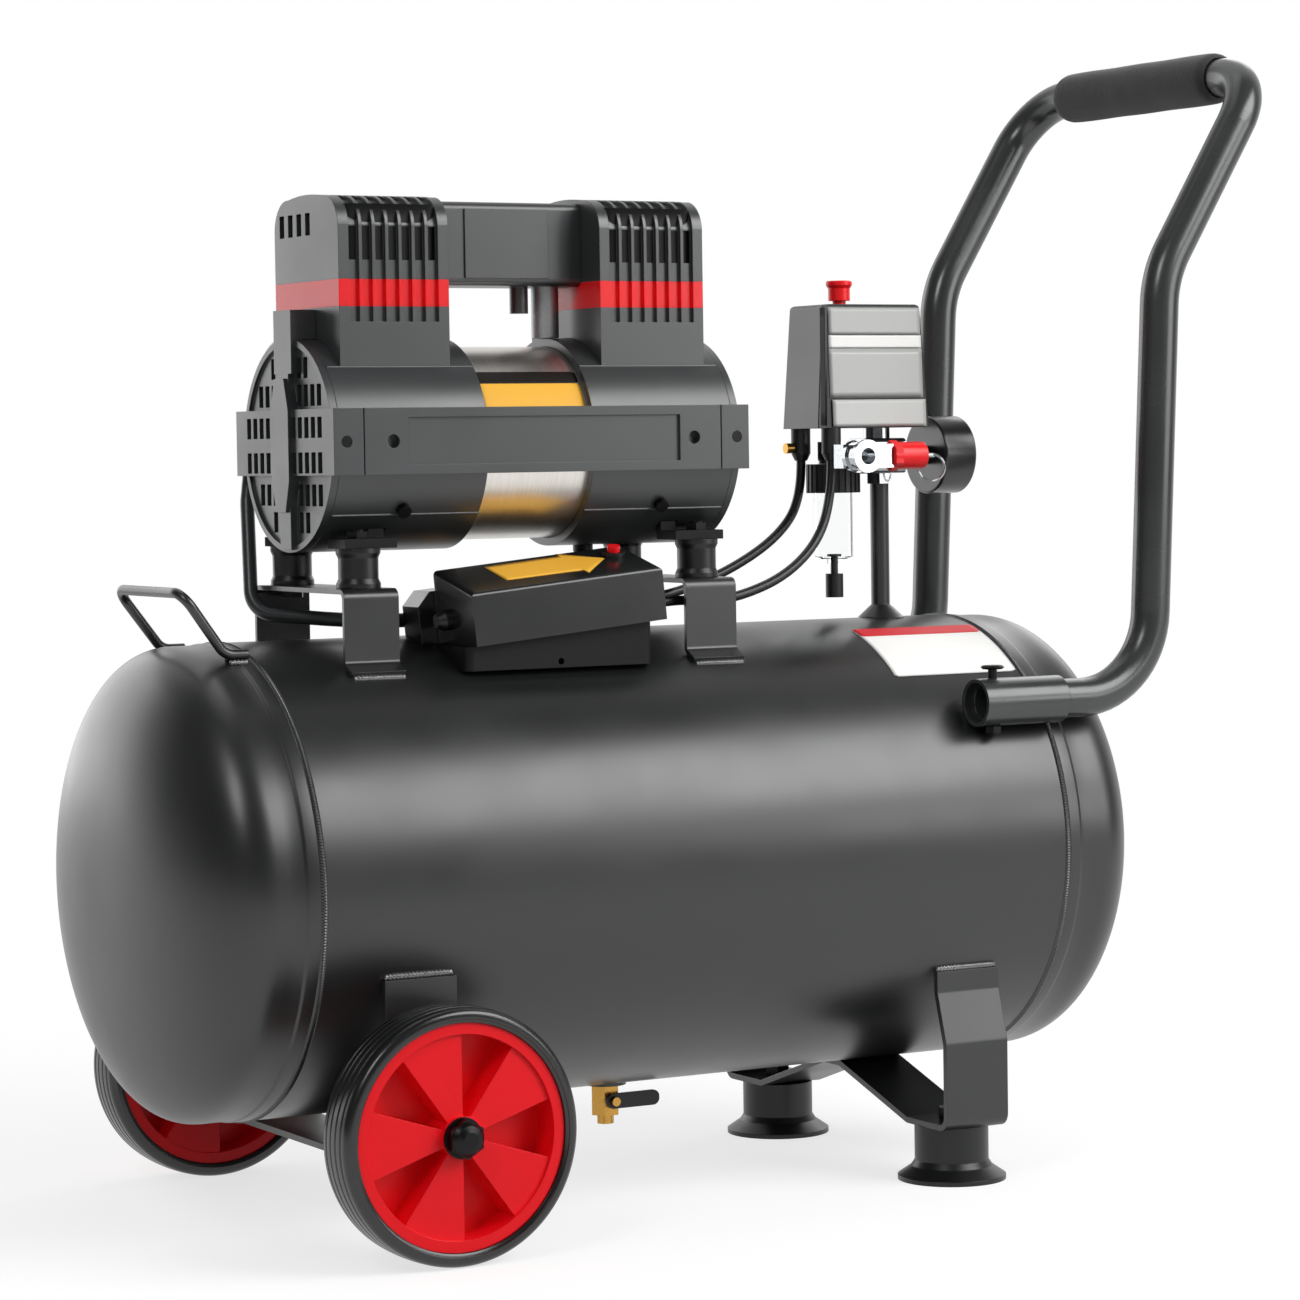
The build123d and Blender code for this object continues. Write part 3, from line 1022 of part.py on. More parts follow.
def make_towers():
    x = TOWER_XS["front"]
    grooves = groove_cutter()
    around = block((x - TOWER_X, x + TOWER_X), (-TOWER_Y, TOWER_Y), TRIM_Z)
    shroud_cut = motor_rod(SHROUD_R + SEAT, -MOTOR_HALF, 0)
    trim = (tower_solid(0) - tower_solid(TRIM_T)) & around
    hood = tower_solid(0) - tower_solid(TOWER_WALL) - block(
        (x - TOWER_X / 2 + TOWER_WALL, x + TOWER_X / 2 - TOWER_WALL),
        (-TOWER_Y / 2 + TOWER_WALL, TOWER_Y / 2 - TOWER_WALL), (MOTOR_Z - 1, MOTOR_Z + 20))
    hood = hood - ((tower_solid(0) - tower_solid(TRIM_T + FIT)) & around)
    hood = hood - shroud_cut - block((x - TOWER_X, x + TOWER_X), (-TOWER_Y, TOWER_Y), (0, MOTOR_Z + 20))
    hood -= grooves
    for k in range(GROOVES):
        groove_x = x + (k - (GROOVES - 1) / 2) * GROOVE_PITCH
        half = GROOVE_WIDTH / 2 - SLOT_INSET
        span = (groove_x - half, groove_x + half)
        hood -= block(span, (-TOWER_Y, TOWER_Y), SLOT_Z)
    for k in range(SIDE_SLOTS):
        y = SIDE_SLOT_FIRST - k * SIDE_SLOT_PITCH
        hood -= block((x - TOWER_X, x - TOWER_X / 2 + TOWER_WALL + 1),
                      (y - SIDE_SLOT_WIDTH / 2, y + SIDE_SLOT_WIDTH / 2), SIDE_SLOT_Z)
    hood -= rod(CROSSOVER_R + CROSSOVER_ROOM, (x, 0, CROSSOVER_Z), (1, 0, 0), TOWER_X)
    keep("tower_hoods", *both_ends(hood))
    keep("tower_trims", *both_ends(trim - grooves))


BRIDGE_XS = (TOWER_XS["front"] + TOWER_X / 2 + SEAT, TOWER_XS["rear"] - TOWER_X / 2 - SEAT)


def make_bridge():
    y, z = BRIDGE_HALF_Y, BRIDGE_Z
    cover = fillet(block(BRIDGE_XS, (-y, y), z).edges().filter_by(Axis.X), BRIDGE_ROUND)
    w = BRIDGE_WALL
    cover -= block(BRIDGE_XS, (-y + w, y - w), (z[0] + w, z[1] - w))
    middle_x = (BRIDGE_XS[0] + BRIDGE_XS[1]) / 2
    middle_z = (z[0] + z[1]) / 2
    panel_x = (middle_x - BRIDGE_PANEL[0] / 2, middle_x + BRIDGE_PANEL[0] / 2)
    panel_z = (middle_z - BRIDGE_PANEL[1] / 2, middle_z + BRIDGE_PANEL[1] / 2)
    panel = block(panel_x, (-y - PANEL_RISE, y + PANEL_RISE), panel_z)
    cover += panel - block(panel_x, (-y + w, y - w), panel_z)
    stack_x = MOTOR_X + STACK_OFFSET
    peg_x = stack_x - STACK_R - PEG_GAP - PEG_R
    cover += rod(PEG_R, (peg_x, 0, z[0] + w), DOWN, PEG_LENGTH + w)
    cover -= rod(STACK_R + FIT, (stack_x, 0, z[0] - 1), UP, w + 2)
    keep("bridge_cover", cover)
    gap_x = TOWER_XS["rear"] - TOWER_XS["front"] - DECK_X
    pipe_start = (TOWER_XS["front"] + DECK_X / 2 - CROSSOVER_IN, 0, CROSSOVER_Z)
    pipe = rod(CROSSOVER_R, pipe_start, (1, 0, 0), gap_x + 2 * CROSSOVER_IN)
    stack_foot = MOTOR_Z + SHROUD_R + SEAT
    pipe += rod(STACK_R, (stack_x, 0, stack_foot), UP, CROSSOVER_Z - stack_foot)
    keep("crossover_pipe", pipe)


def make_shrouds():
    """Half shells over the motor's ends, cut for the towers, lugs and screws."""
    end = -(MOTOR_HALF - GRILLE_INSET - GRILLE_T - SEAT)
    shroud = motor_rod(SHROUD_R, end, -BAND_SHOWN)
    shroud -= motor_rod(SHROUD_R - SHROUD_WALL, end, -BAND_SHOWN - SHROUD_LIP)
    shroud -= motor_rod(BAND_R + SHROUD_GAP, end, -BAND_SHOWN)
    x = TOWER_XS["front"]
    shroud -= block((x - DECK_X / 2 - 1, x + DECK_X / 2 + 1), (-DECK_Y / 2 - 1, DECK_Y / 2 + 1),
                    (MOTOR_Z + 20, TOWER_TOP))
    web_x = (MOTOR_X - CRANK_END, MOTOR_X - CRANK_END + LUG_ROOT + WEB_ROOM)
    web_y = (MOUNT_Y - MOUNT_R - WEB_ROOM, MOUNT_Y - MOUNT_BOLT_HEAD_R - WEB_GAP + WEB_ROOM)
    for side in (web_y, (-web_y[1], -web_y[0])):
        shroud -= block(web_x, side, (MOUNT_TOP, MOTOR_Z))
    keep("motor_shrouds", *both_ends(shroud))


def end_grille():
    """Slotted front cover with its spine, middle boss, side ears and air duct to the tower."""
    face = -(MOTOR_HALF - GRILLE_INSET)
    outer_x = MOTOR_X - MOTOR_HALF
    plate_x = MOTOR_X + face
    back_x = plate_x + GRILLE_T
    grille = motor_rod(SHROUD_R, face, face + GRILLE_T)
    rim = motor_rod(SHROUD_R, face - GRILLE_RIM_RISE, face + GRILLE_T)
    grille += rim - motor_rod(SHROUD_R - GRILLE_RIM, face - GRILLE_RIM_RISE, 0)
    grille += block((outer_x, back_x), (-EAR_Y, EAR_Y), PLATE_Z)
    for row, (low, high) in enumerate(GRILLE_ROWS):
        reach = sqrt((SHROUD_R - GRILLE_RIM - 1) ** 2 - high ** 2)
        if row == 0:
            reach = EAR_Y - EAR_SLOT_EDGE
        count = int((reach - GRILLE_FIRST - GRILLE_SLOT / 2) / GRILLE_PITCH) + 1
        for k in range(count):
            y = GRILLE_FIRST + k * GRILLE_PITCH
            for side in (-1, 1):
                span = sorted((side * (y - GRILLE_SLOT / 2), side * (y + GRILLE_SLOT / 2)))
                for sign in (-1, 1):
                    z = sorted((MOTOR_Z + sign * low, MOTOR_Z + sign * high))
                    grille -= block((outer_x - 1, back_x), span, z)
    spine_z = (MOTOR_Z - SHROUD_R + SPINE_FOOT, MOTOR_Z + SHROUD_R)
    grille += block((outer_x, back_x), (-SPINE_HALF, SPINE_HALF), spine_z)
    (wide, up), (tip, top) = BOSS_WIDE, BOSS_TIP
    corners = [(wide, -up), (wide, up), (tip, top), (-tip, top), (-wide, up), (-wide, -up),
               (-tip, -top), (tip, -top)]
    outline = Polyline(*[(outer_x - BOSS_RISE, y, MOTOR_Z + z) for y, z in corners], close=True)
    grille += extrude(make_face(outline), amount=BOSS_RISE + back_x - outer_x, dir=(1, 0, 0))
    ears = block((outer_x, outer_x + EAR_T), (EAR_INNER_Y, EAR_Y), PLATE_Z)
    ears += mirror(ears, about=Plane.XZ)
    duct_top = TRIM_Z[0] - DUCT_GAP
    tower_face = TOWER_XS["front"] - TOWER_X / 2 - SEAT
    duct = block((outer_x, tower_face), (-DUCT_HALF, DUCT_HALF), (MOTOR_Z + DUCT_FOOT, duct_top))
    duct -= rod(SHROUD_R - GRILLE_RIM, (back_x, 0, MOTOR_Z), (1, 0, 0), MOTOR_HALF)
    shroud = rod(SHROUD_R + SEAT, (back_x, 0, MOTOR_Z), (1, 0, 0), MOTOR_HALF)
    cover = grille + (ears + duct - shroud)
    screw_x, middle_z = ear_screw_spot()
    for side in (-1, 1):
        mouth, inward = (screw_x, side * EAR_Y, middle_z), (0, -side, 0)
        cover -= rod(SCREW_HEAD_R + FIT, mouth, inward, SCREW_HEAD_T)
        cover -= rod(SCREW_R + FIT, mouth, inward, EAR_Y - EAR_INNER_Y)
    return cover


def ear_screw_spot():
    """Where the screw of a front ear is, along the machine and in height."""
    return MOTOR_X - EAR_SCREW_OFFSET, (PLATE_Z[0] + PLATE_Z[1]) / 2


def make_grilles():
    keep("end_grilles", *both_ends(end_grille()))


def make_side_plates():
    """Long covers on both flanks, left bare, and the screws of all the covers."""
    half = MOTOR_HALF - EAR_T - PLATE_GAP
    ends = (MOTOR_X - half, MOTOR_X + half)
    w = PLATE_WALL
    plate = block(ends, (-EAR_Y, -SHROUD_R / 2), PLATE_Z)
    plate -= block((ends[0] + w, ends[1] - w), (-EAR_Y + PLATE_RECESS + w, 0),
                   (PLATE_Z[0] + w, PLATE_Z[1] - w))
    recess = (MOTOR_X - PLATE_RECESS_HALF, MOTOR_X + PLATE_RECESS_HALF)
    edge = PLATE_RECESS_EDGE
    plate -= block(recess, (-EAR_Y - 1, -EAR_Y + PLATE_RECESS), (PLATE_Z[0] + edge, PLATE_Z[1] - edge))
    middle_z = (PLATE_Z[0] + PLATE_Z[1]) / 2
    for offset in (-PLATE_HOLE_OFFSET, PLATE_HOLE_OFFSET):
        post = rod(PLATE_POST_R, (MOTOR_X + offset, -EAR_Y + w, middle_z), (0, 1, 0), EAR_Y / 2)
        hole = rod(PLATE_HOLE_R, (MOTOR_X + offset, -EAR_Y - 1, middle_z), (0, 1, 0), EAR_Y - SHROUD_R)
        plate += post - hole
        plate -= hole
    plate -= motor_rod(SHROUD_R + SEAT, -MOTOR_HALF, MOTOR_HALF)
    keep("side_plates", *both_sides(plate))

    screw_x, middle_z = ear_screw_spot()
    head = (screw_x, -EAR_Y + SCREW_HEAD_T, middle_z)
    screw = rod(SCREW_HEAD_R, head, (0, -1, 0), SCREW_HEAD_T - SIDE_GAP / 2)
    screw += rod(SCREW_R, head, (0, 1, 0), EAR_Y - SCREW_HEAD_T - SHROUD_R - SEAT)
    screws = [piece for end in both_ends(screw) for piece in both_sides(end)]
    lean = radians(LOWER_SCREW_ANGLE)
    reach = SHROUD_R + SEAT
    away = (0, -cos(lean), -sin(lean))
    for x in TOWER_XS.values():
        foot = (x, reach * away[1], MOTOR_Z + reach * away[2])
        screws += both_sides(rod(LOWER_SCREW_R, foot, away, LOWER_SCREW_HEIGHT))
    keep("cover_screws", *screws)


# ================================================================ capacitor box
TILT = radians(BOX_PITCH)
BOX_PLANE = Plane((BOX_X, BOX_FRONT_Y, BOX_FRONT_Z), x_dir=(cos(TILT), 0, sin(TILT)),
                  z_dir=(-sin(TILT), 0, cos(TILT)))


def box_prism(inset, length, lift=0.0):
    """Wedge-topped block in the box's own frame, inset all round except at its open foot."""
    d, w = BOX_DEPTH - inset, inset
    front, rear = BOX_FRONT_HEIGHT - inset, BOX_REAR_HEIGHT - inset
    face = make_face(Polyline((w, w, lift), (w, d, lift), (w, d, rear), (w, w, front), close=True))
    return extrude(face, amount=length - 2 * inset, dir=(1, 0, 0))


def make_box():
    cover = box_prism(0, BOX_LENGTH)
    tops = [e for e in cover.edges() if e.center().Z > BOX_FRONT_HEIGHT / 2]
    cover = fillet(tops, BOX_ROUND)
    hump_y = (BOX_DEPTH - 1, BOX_DEPTH + HUMP_DEPTH)
    hump_end = BOX_LENGTH - HUMP_SHORT
    hump = block((HUMP_FRONT, hump_end), hump_y, (0, HUMP_HEIGHT))
    hump = chamfer(hump.edges().filter_by(Axis.Y).group_by(Axis.Z)[-1], HUMP_CHAMFER)
    cover += hump
    cover -= box_prism(BOX_WALL, BOX_LENGTH, lift=-1)
    w = BOX_WALL
    cover -= block((HUMP_FRONT + w, hump_end - w), (BOX_DEPTH + 1, BOX_DEPTH + HUMP_DEPTH - w),
                   (-1, HUMP_HEIGHT - w - HUMP_CHAMFER + 1))
    slope = (BOX_REAR_HEIGHT - BOX_FRONT_HEIGHT) / BOX_DEPTH
    lean = Vector(0, -slope, 1).normalized()
    top = Vector(BUTTON_X, BUTTON_Y, BOX_FRONT_HEIGHT + slope * BUTTON_Y)
    body_r = BREAKER_R
    cover -= rod(body_r + FIT, tuple(top - lean * 8), tuple(lean), 16)
    glands = []
    for x, way, spot in ((0, -1, BOX_GLAND_LEFT), (BOX_LENGTH, 1, BOX_GLAND_RIGHT)):
        cover -= rod(GLAND_SPIGOT_R + FIT, (x - way * 4, *spot), (way, 0, 0), 8)
        glands.append(gland((x + way * BOX_GLAND_LENGTH, *spot), (-way, 0, 0), BOX_GLAND_LENGTH))
    place = BOX_PLANE.location
    keep("cable_glands", *[place * piece for piece in glands])
    keep("box_cover", place * cover - tank_body(SEAT))
    collar = rod(COLLAR_R, tuple(top), tuple(lean), COLLAR_RISE)
    collar += rod(body_r, tuple(top - lean * BREAKER_DEPTH), tuple(lean), BREAKER_DEPTH)
    bore_depth = BUTTON_TRAVEL + BUTTON_SUNK + BUTTON_SPARE
    collar -= rod(BUTTON_R + RUN, tuple(top + lean * (COLLAR_RISE - bore_depth)), tuple(lean), bore_depth)
    keep("overload_breaker", place * collar)
    foot = top + lean * (COLLAR_RISE - BUTTON_SUNK)
    button = rod(BUTTON_R, tuple(foot), tuple(lean), BUTTON_RISE + BUTTON_SUNK - COLLAR_RISE)
    keep("reset_button", place * button)

    x = BOX_WALL + CAPACITOR_GAPS[0]
    cans = []
    for length in CAPACITOR_LENGTHS:
        start = (x, CAPACITOR_MIDDLE, CAPACITOR_R + TRAY_GAP)
        cans.append(place * rod(CAPACITOR_R, start, (1, 0, 0), length))
        x += length + CAPACITOR_GAPS[1]
    keep("capacitors", *cans)

    tray = block(TRAY_X, TRAY_Y, (TRAY_Z, TRAY_Z + TRAY_HEIGHT))
    above = place * block((-60, BOX_LENGTH + 60), (-60, BOX_DEPTH + 60), (-TRAY_GAP, 120))
    tray = fillet(tray.edges().filter_by(Axis.Z), TRAY_ROUND) - above - tank_body(SEAT)
    tray -= rod(SCREW_R + FIT, ((TRAY_X[0] + TRAY_X[1]) / 2, TRAY_Y[0] - 1, TRAY_Z + 4), (0, 1, 0), 9)
    keep("box_tray", tray)


def box_spot(x, y, z):
    """Point of the machine at a place in the capacitor box's own frame."""
    return tuple(BOX_PLANE.from_local_coords(Vector(x, y, z)))


# ================================================================ delivery hose and check valve
def make_delivery():
    neck = TANK_TOP + PORT_HEIGHT
    body = rod(PORT_THREAD_R - FIT, (CHECK_VALVE_X, 0, TANK_TOP - 6), UP, PORT_HEIGHT + 6)
    body += hexagon(CHECK_BODY_R, (CHECK_VALVE_X, 0, neck), UP, CHECK_BODY_TOP - neck)
    nut_x = CHECK_VALVE_X - CHECK_BODY_R * 0.7
    pipe_z = neck + PIPE_NUT_R + 0.5
    nut = hexagon(PIPE_NUT_R, (nut_x, 0, pipe_z), (-1, 0, 0), PIPE_NUT_LENGTH)
    nut_x -= PIPE_NUT_LENGTH
    nut -= rod(PIPE_R + FIT, (nut_x, 0, pipe_z), (1, 0, 0), PIPE_NUT_LENGTH * 0.7)
    keep("brass_fittings", body + nut)
    hood_y = TOWER_Y / 2 + SEAT
    outlet = hexagon(PIPE_NUT_R, (PIPE_OUT_X, hood_y, PIPE_OUT_Z), (0, 1, 0), PIPE_OUT_NUT_LENGTH)
    outlet -= rod(PIPE_R + FIT, (PIPE_OUT_X, hood_y + 2, PIPE_OUT_Z), (0, 1, 0), PIPE_OUT_NUT_LENGTH)
    keep("brass_fittings", outlet)
    saddle_x = MOUNT_XS[0] - SADDLE_WIDTH / 2
    route = [(PIPE_OUT_X, hood_y + 2 + FIT, PIPE_OUT_Z), (PIPE_OUT_X, PIPE_SIDE_Y, PIPE_OUT_Z),
             (PIPE_OUT_X - 13, PIPE_SIDE_Y, MOTOR_Z + 9), (PIPE_OUT_X - 21, PIPE_SIDE_Y - 6, MOTOR_Z - 36),
             (saddle_x - 8.5, SADDLE_LEG_Y - 12.5, SADDLE_TOP - 17.5), (MOUNT_XS[0] + 7, 16, pipe_z + 2),
             (MOUNT_XS[0] + 33, 0, pipe_z), (nut_x + PIPE_NUT_LENGTH * 0.7 - FIT, 0, pipe_z)]
    keep("delivery_pipe", along(FilletPolyline(*route, radius=PIPE_BEND), PIPE_R, PIPE_R - PIPE_WALL))


def cable(name, points, radius):
    """Free cable as straight runs joined by the largest tangent arcs that they allow."""
    knots = [Vector(*point) for point in points]
    radii, turns = [], []
    for before, here, after in zip(knots, knots[1:], knots[2:]):
        turn = (here - before).get_angle(after - here)
        shorter = min((here - before).length, (after - here).length)
        radii.append(0.45 * shorter / tan(radians(turn) / 2))
        turns.append(turn)
    route = FilletPolyline(*points, radius=radii)
    solid = along(route, radius)
    runs = [round((b - a).length, 1) for a, b in zip(knots, knots[1:])]
    section = pi * radius ** 2
    print(name, "length", round(route.length, 1), "runs", runs, "turns", [round(t) for t in turns])
    print(name, "radii", [round(r, 1) for r in radii],
          "volume ratio", round(solid.volume / (section * route.length), 4))
    keep(name, solid)


# ================================================================ pressure switch and fittings
def switch_block(inset, foot, top):
    """Tapered block of the switch housing, inset from its faces."""
    x0, x1 = SWITCH_X[0] + inset, SWITCH_X[1] - inset
    y = SWITCH_HALF_Y - inset
    middle = (x0 + x1) / 2
    base = Plane((middle, 0, foot)) * Rectangle(x1 - x0, 2 * y)
    return extrude(base, amount=top - foot, taper=SWITCH_TAPER)


def make_switch():
    z0, z1 = SWITCH_Z
    w = SWITCH_WALL
    whole = switch_block(0, z0, z1)
    whole = fillet(whole.edges().group_by(Axis.Z)[-1], SWITCH_ROUND)
    seam_y = -SWITCH_HALF_Y + SWITCH_FACE_T
    behind = block((0, 1000), (seam_y + SWITCH_SEAM, 100), (z0 - 1, z1 + 1))
    ahead = block((0, 1000), (-100, seam_y), (z0 - 1, z1 + 1))
    hollow = switch_block(w, z0 + w, z1 - w)
    housing = (whole & behind) - (hollow & block((0, 1000), (seam_y + SWITCH_SEAM + w, 100), (z0, z1)))
    core_y = (seam_y, seam_y + SWITCH_SEAM)
    inset = SWITCH_SEAM_INSET
    core = switch_block(inset, z0 + inset, z1 - inset) & block((0, 1000), core_y, (z0, z1))
    housing += core
    housing -= rod(KNOB_STEM_R + RUN, (KNOB_X, 0, z1 - 10), UP, 20)
    cover = whole & ahead
    for y in SWITCH_GLAND_Y:
        hole = rod(GLAND_SPIGOT_R + FIT, (SWITCH_GLAND_X, y, z0 - 1), UP, GLAND_SPIGOT + 1.3)
        housing -= hole
        cover -= hole
    keep("switch_cover", cover)
    foot = z1 + KNOB_LIFT
    stem_foot = foot - KNOB_STEM_LENGTH
    knob = lathe([(0, 0), (KNOB_NECK_R, 0), (KNOB_NECK_R, KNOB_HEIGHT * 0.62), (KNOB_R, KNOB_HEIGHT * 0.78),
                  (KNOB_R, KNOB_HEIGHT - 0.8), (KNOB_R - 0.8, KNOB_HEIGHT), (0, KNOB_HEIGHT)],
                 (KNOB_X, 0, foot), UP)
    knob += rod(KNOB_STEM_R, (KNOB_X, 0, stem_foot), UP, KNOB_STEM_LENGTH + 1)
    keep("switch_knob", knob)
    keep("switch_housing", housing, contact_block(stem_foot))
    foot = z0 - SWITCH_GLAND_LENGTH
    for y in SWITCH_GLAND_Y:
        keep("cable_glands", gland((SWITCH_GLAND_X, y, foot), UP, SWITCH_GLAND_LENGTH))
    screw_x = SWITCH_GLAND_X - GLAND_R - SEAT
    screw = rod(GLAND_SCREW_R, (screw_x, SWITCH_GLAND_Y[0], foot + GLAND_TAPER + GLAND_SCREW_R), (-1, 0, 0),
                GLAND_SCREW_LENGTH)
    keep("brass_fittings", screw)


def contact_block(stem_foot):
    """Contacts and spring block inside the switch, under the knob's stem."""
    z0 = SWITCH_Z[0] + SWITCH_WALL
    x = (SWITCH_X[0] + CONTACT_INSET, SWITCH_X[1] - CONTACT_INSET)
    return block(x, CONTACT_Y, (z0, stem_foot - SIDE_GAP))


def make_fittings():
    x0, x1 = MANIFOLD_X
    z = FITTING_Z
    body = block((x0, x1), (-MANIFOLD_HALF_Y, MANIFOLD_HALF_Y), (z - MANIFOLD_HALF_Z, z + MANIFOLD_HALF_Z))
    body = fillet(body.edges().filter_by(Axis.X), 4)
    arm_x, arm_y = FILTER_X - ARM_PAST, ARM_HALF
    body += block((arm_x, x0 + 1), (-arm_y, arm_y), (FILTER_Z[1] + FIT, z + MANIFOLD_HALF_Z - 2))
    neck_x = (x0 + x1) / 2
    body += rod(SWITCH_NECK_R, (neck_x, 0, z), UP, SWITCH_Z[0] - z)
    half_y, half_z = BRANCH_HALF
    body += rod(BRANCH_NECK_R, (BRANCH_NECK_X, -arm_y + 2, z), (0, -1, 0), -BRANCH_Y - arm_y)
    body += block(BRANCH_X, (BRANCH_Y - half_y, BRANCH_Y + half_y), (z - half_z, z + half_z))
    support_top = z - MANIFOLD_HALF_Z - SUPPORT_NUT_HEIGHT
    body += hexagon(SUPPORT_NUT_R, (SUPPORT_X, 0, support_top), UP, SUPPORT_NUT_HEIGHT + 1)
    thread_top = z - MANIFOLD_HALF_Z + 4
    body -= rod(SUPPORT_R + FIT, (SUPPORT_X, 0, support_top - 1), UP, thread_top - support_top + 1)
    body += hexagon(GAUGE_HEX_R, (x1 - 1, 0, z), (1, 0, 0), 7)
    body -= rod(GAUGE_STUB_R + FIT, (x1 - 2, 0, z), (1, 0, 0), 12)
    keep("manifold", body)

    pipe_foot = TANK_TOP - TANK_WALL - 3
    pipe = rod(SUPPORT_R, (SUPPORT_X, 0, pipe_foot), UP, thread_top - SEAT - pipe_foot)
    flare = cone(FLARE_R, SUPPORT_R, (SUPPORT_X, 0, TANK_TOP - 1.2), UP, FLARE_HEIGHT) - tank_body(SEAT)
    pipe += flare
    pipe -= rod(SUPPORT_BORE_R, (SUPPORT_X, 0, pipe_foot), UP, thread_top - pipe_foot)
    keep("support_pipe", pipe)

    out = (0, -1, 0)
    foot_y = BRANCH_Y - half_y - SEAT
    mouth_y = foot_y - COUPLING_LENGTH
    coupling = rod(COUPLING_R, (OUTLET_X, foot_y, z), out, COUPLING_LENGTH)
    for y in (foot_y, mouth_y + COUPLING_FLANGE_T):
        coupling += rod(COUPLING_FLANGE_R, (OUTLET_X, y, z), out, COUPLING_FLANGE_T)
    coupling -= rod(COUPLING_BORE_R, (OUTLET_X, mouth_y, z), (0, 1, 0), COUPLING_BORE_DEPTH)
    keep("outlet_coupling", coupling)

    start = (BRANCH_X[1] + SEAT, BRANCH_Y, z)
    forward = (1, 0, 0)
    valve = hexagon(VALVE_HEX[0], start, forward, VALVE_HEX[1])
    valve += rod(VALVE_R, start, forward, VALVE_LENGTH)
    end = (start[0] + VALVE_LENGTH, BRANCH_Y, z)
    valve -= rod(PULL_PIN_R + RUN, end, (-1, 0, 0), VALVE_LENGTH * 0.5)
    keep("safety_valve", valve)
    pin_foot = (end[0] - VALVE_LENGTH * 0.4, BRANCH_Y, z)
    pin = rod(PULL_PIN_R, pin_foot, forward, VALVE_LENGTH * 0.4 + VALVE_PIN_SHOWN)
    lean = radians(RING_TURN)
    ring = Plane((end[0] + VALVE_PIN_SHOWN - 2, BRANCH_Y, z - RING_R + 0.5),
                 z_dir=(cos(lean), sin(lean), 0)).location
    pin += ring * Torus(RING_R, RING_WIRE)
    keep("valve_pull_ring", pin)


def make_filter():
    z0, z1 = FILTER_Z
    centre = (FILTER_X, 0, z0)
    body = rod(FILTER_R - RIB_RISE, centre, UP, z1 - z0)
    for k in range(FILTER_RIBS):
        lean = k * 360 / FILTER_RIBS
        rib = Pos(FILTER_R - RIB_RISE, 0, 0) * Box(2 * RIB_RISE, RIB_WIDTH, z1 - z0)
        body += Pos(FILTER_X, 0, (z0 + z1) / 2) * Rot(0, 0, lean) * rib
    body -= rod(BOWL_R + FIT, centre, UP, BOWL_SEAT)
    keep("filter_head", body)
    bowl = rod(BOWL_R, (FILTER_X, 0, BOWL_FOOT), UP, z0 + BOWL_SEAT - 0.5 - BOWL_FOOT)
    bowl = fillet(bowl.edges().group_by(Axis.Z)[0], BOWL_ROUND)
    bowl -= rod(BOWL_R - BOWL_WALL, (FILTER_X, 0, BOWL_FOOT + BOWL_WALL), UP, z0 + 10 - BOWL_FOOT)
    bowl += rod(BOWL_SPIGOT_R, (FILTER_X, 0, BOWL_FOOT + 1), DOWN, BOWL_SPIGOT + 1)
    bowl -= rod(DRAIN_STEM_R + RUN, (FILTER_X, 0, BOWL_FOOT - 6), UP, 12)
    keep("filter_bowl", bowl)
    low, high = DRAIN_KNOB_Z
    knob = rod(DRAIN_KNOB_R, (FILTER_X, 0, low), UP, high - low - 1)
    knob += rod(DRAIN_STEM_R, (FILTER_X, 0, high - 2), UP, BOWL_FOOT + 5 - high)
    stop = (FILTER_X, 0, BOWL_FOOT + BOWL_WALL + 0.3)
    knob += tube(DRAIN_STEM_R + 2.4, DRAIN_STEM_R - 0.5, stop, UP, 1.5)
    keep("filter_drain_knob", knob)


def make_gauge():
    z = FITTING_Z
    back, front = GAUGE_X, GAUGE_X + GAUGE_T
    case = rod(GAUGE_R, (back, 0, z), (1, 0, 0), GAUGE_T)
    case = fillet(case.edges().filter_by(GeomType.CIRCLE), GAUGE_BEZEL)
    case -= rod(GAUGE_R - GAUGE_WALL, (front - GAUGE_DIAL_DEPTH, 0, z), (1, 0, 0), GAUGE_T)
    stub = back - MANIFOLD_X[1] + 1
    case += rod(GAUGE_STUB_R, (back + 1, 0, z), (-1, 0, 0), stub + 1)
    floor_x = front - GAUGE_DIAL_DEPTH
    case += rod(NEEDLE_PIN_R, (floor_x - 1, 0, z), (1, 0, 0), 1 + NEEDLE_GAP + NEEDLE_T + 0.6)
    keep("gauge_case", case)
    lens_x = front - GAUGE_LENS_T - GAUGE_LENS_INSET
    keep("gauge_lens", rod(GAUGE_R - GAUGE_WALL - FIT, (lens_x, 0, z), (1, 0, 0), GAUGE_LENS_T))
    needle_x = floor_x + NEEDLE_GAP
    hub = tube(NEEDLE_HUB_R, NEEDLE_PIN_R + RUN, (needle_x - 0.6, 0, z), (1, 0, 0), NEEDLE_T + 0.6)
    start = radians(-135)
    tip = Vector(0, sin(start), cos(start))
    across = Vector(0, cos(start), -sin(start))
    middle = Vector(needle_x, 0, z)
    outline = [middle + tip * NEEDLE_LENGTH, middle + across * 1.3 - tip * NEEDLE_TAIL,
               middle - across * 1.3 - tip * NEEDLE_TAIL]
    hand = extrude(make_face(Polyline(*outline, close=True)), amount=NEEDLE_T, dir=(1, 0, 0))
    hand -= rod(NEEDLE_PIN_R + RUN, (needle_x - 1, 0, z), (1, 0, 0), 4)
    keep("gauge_needle", hand + hub)


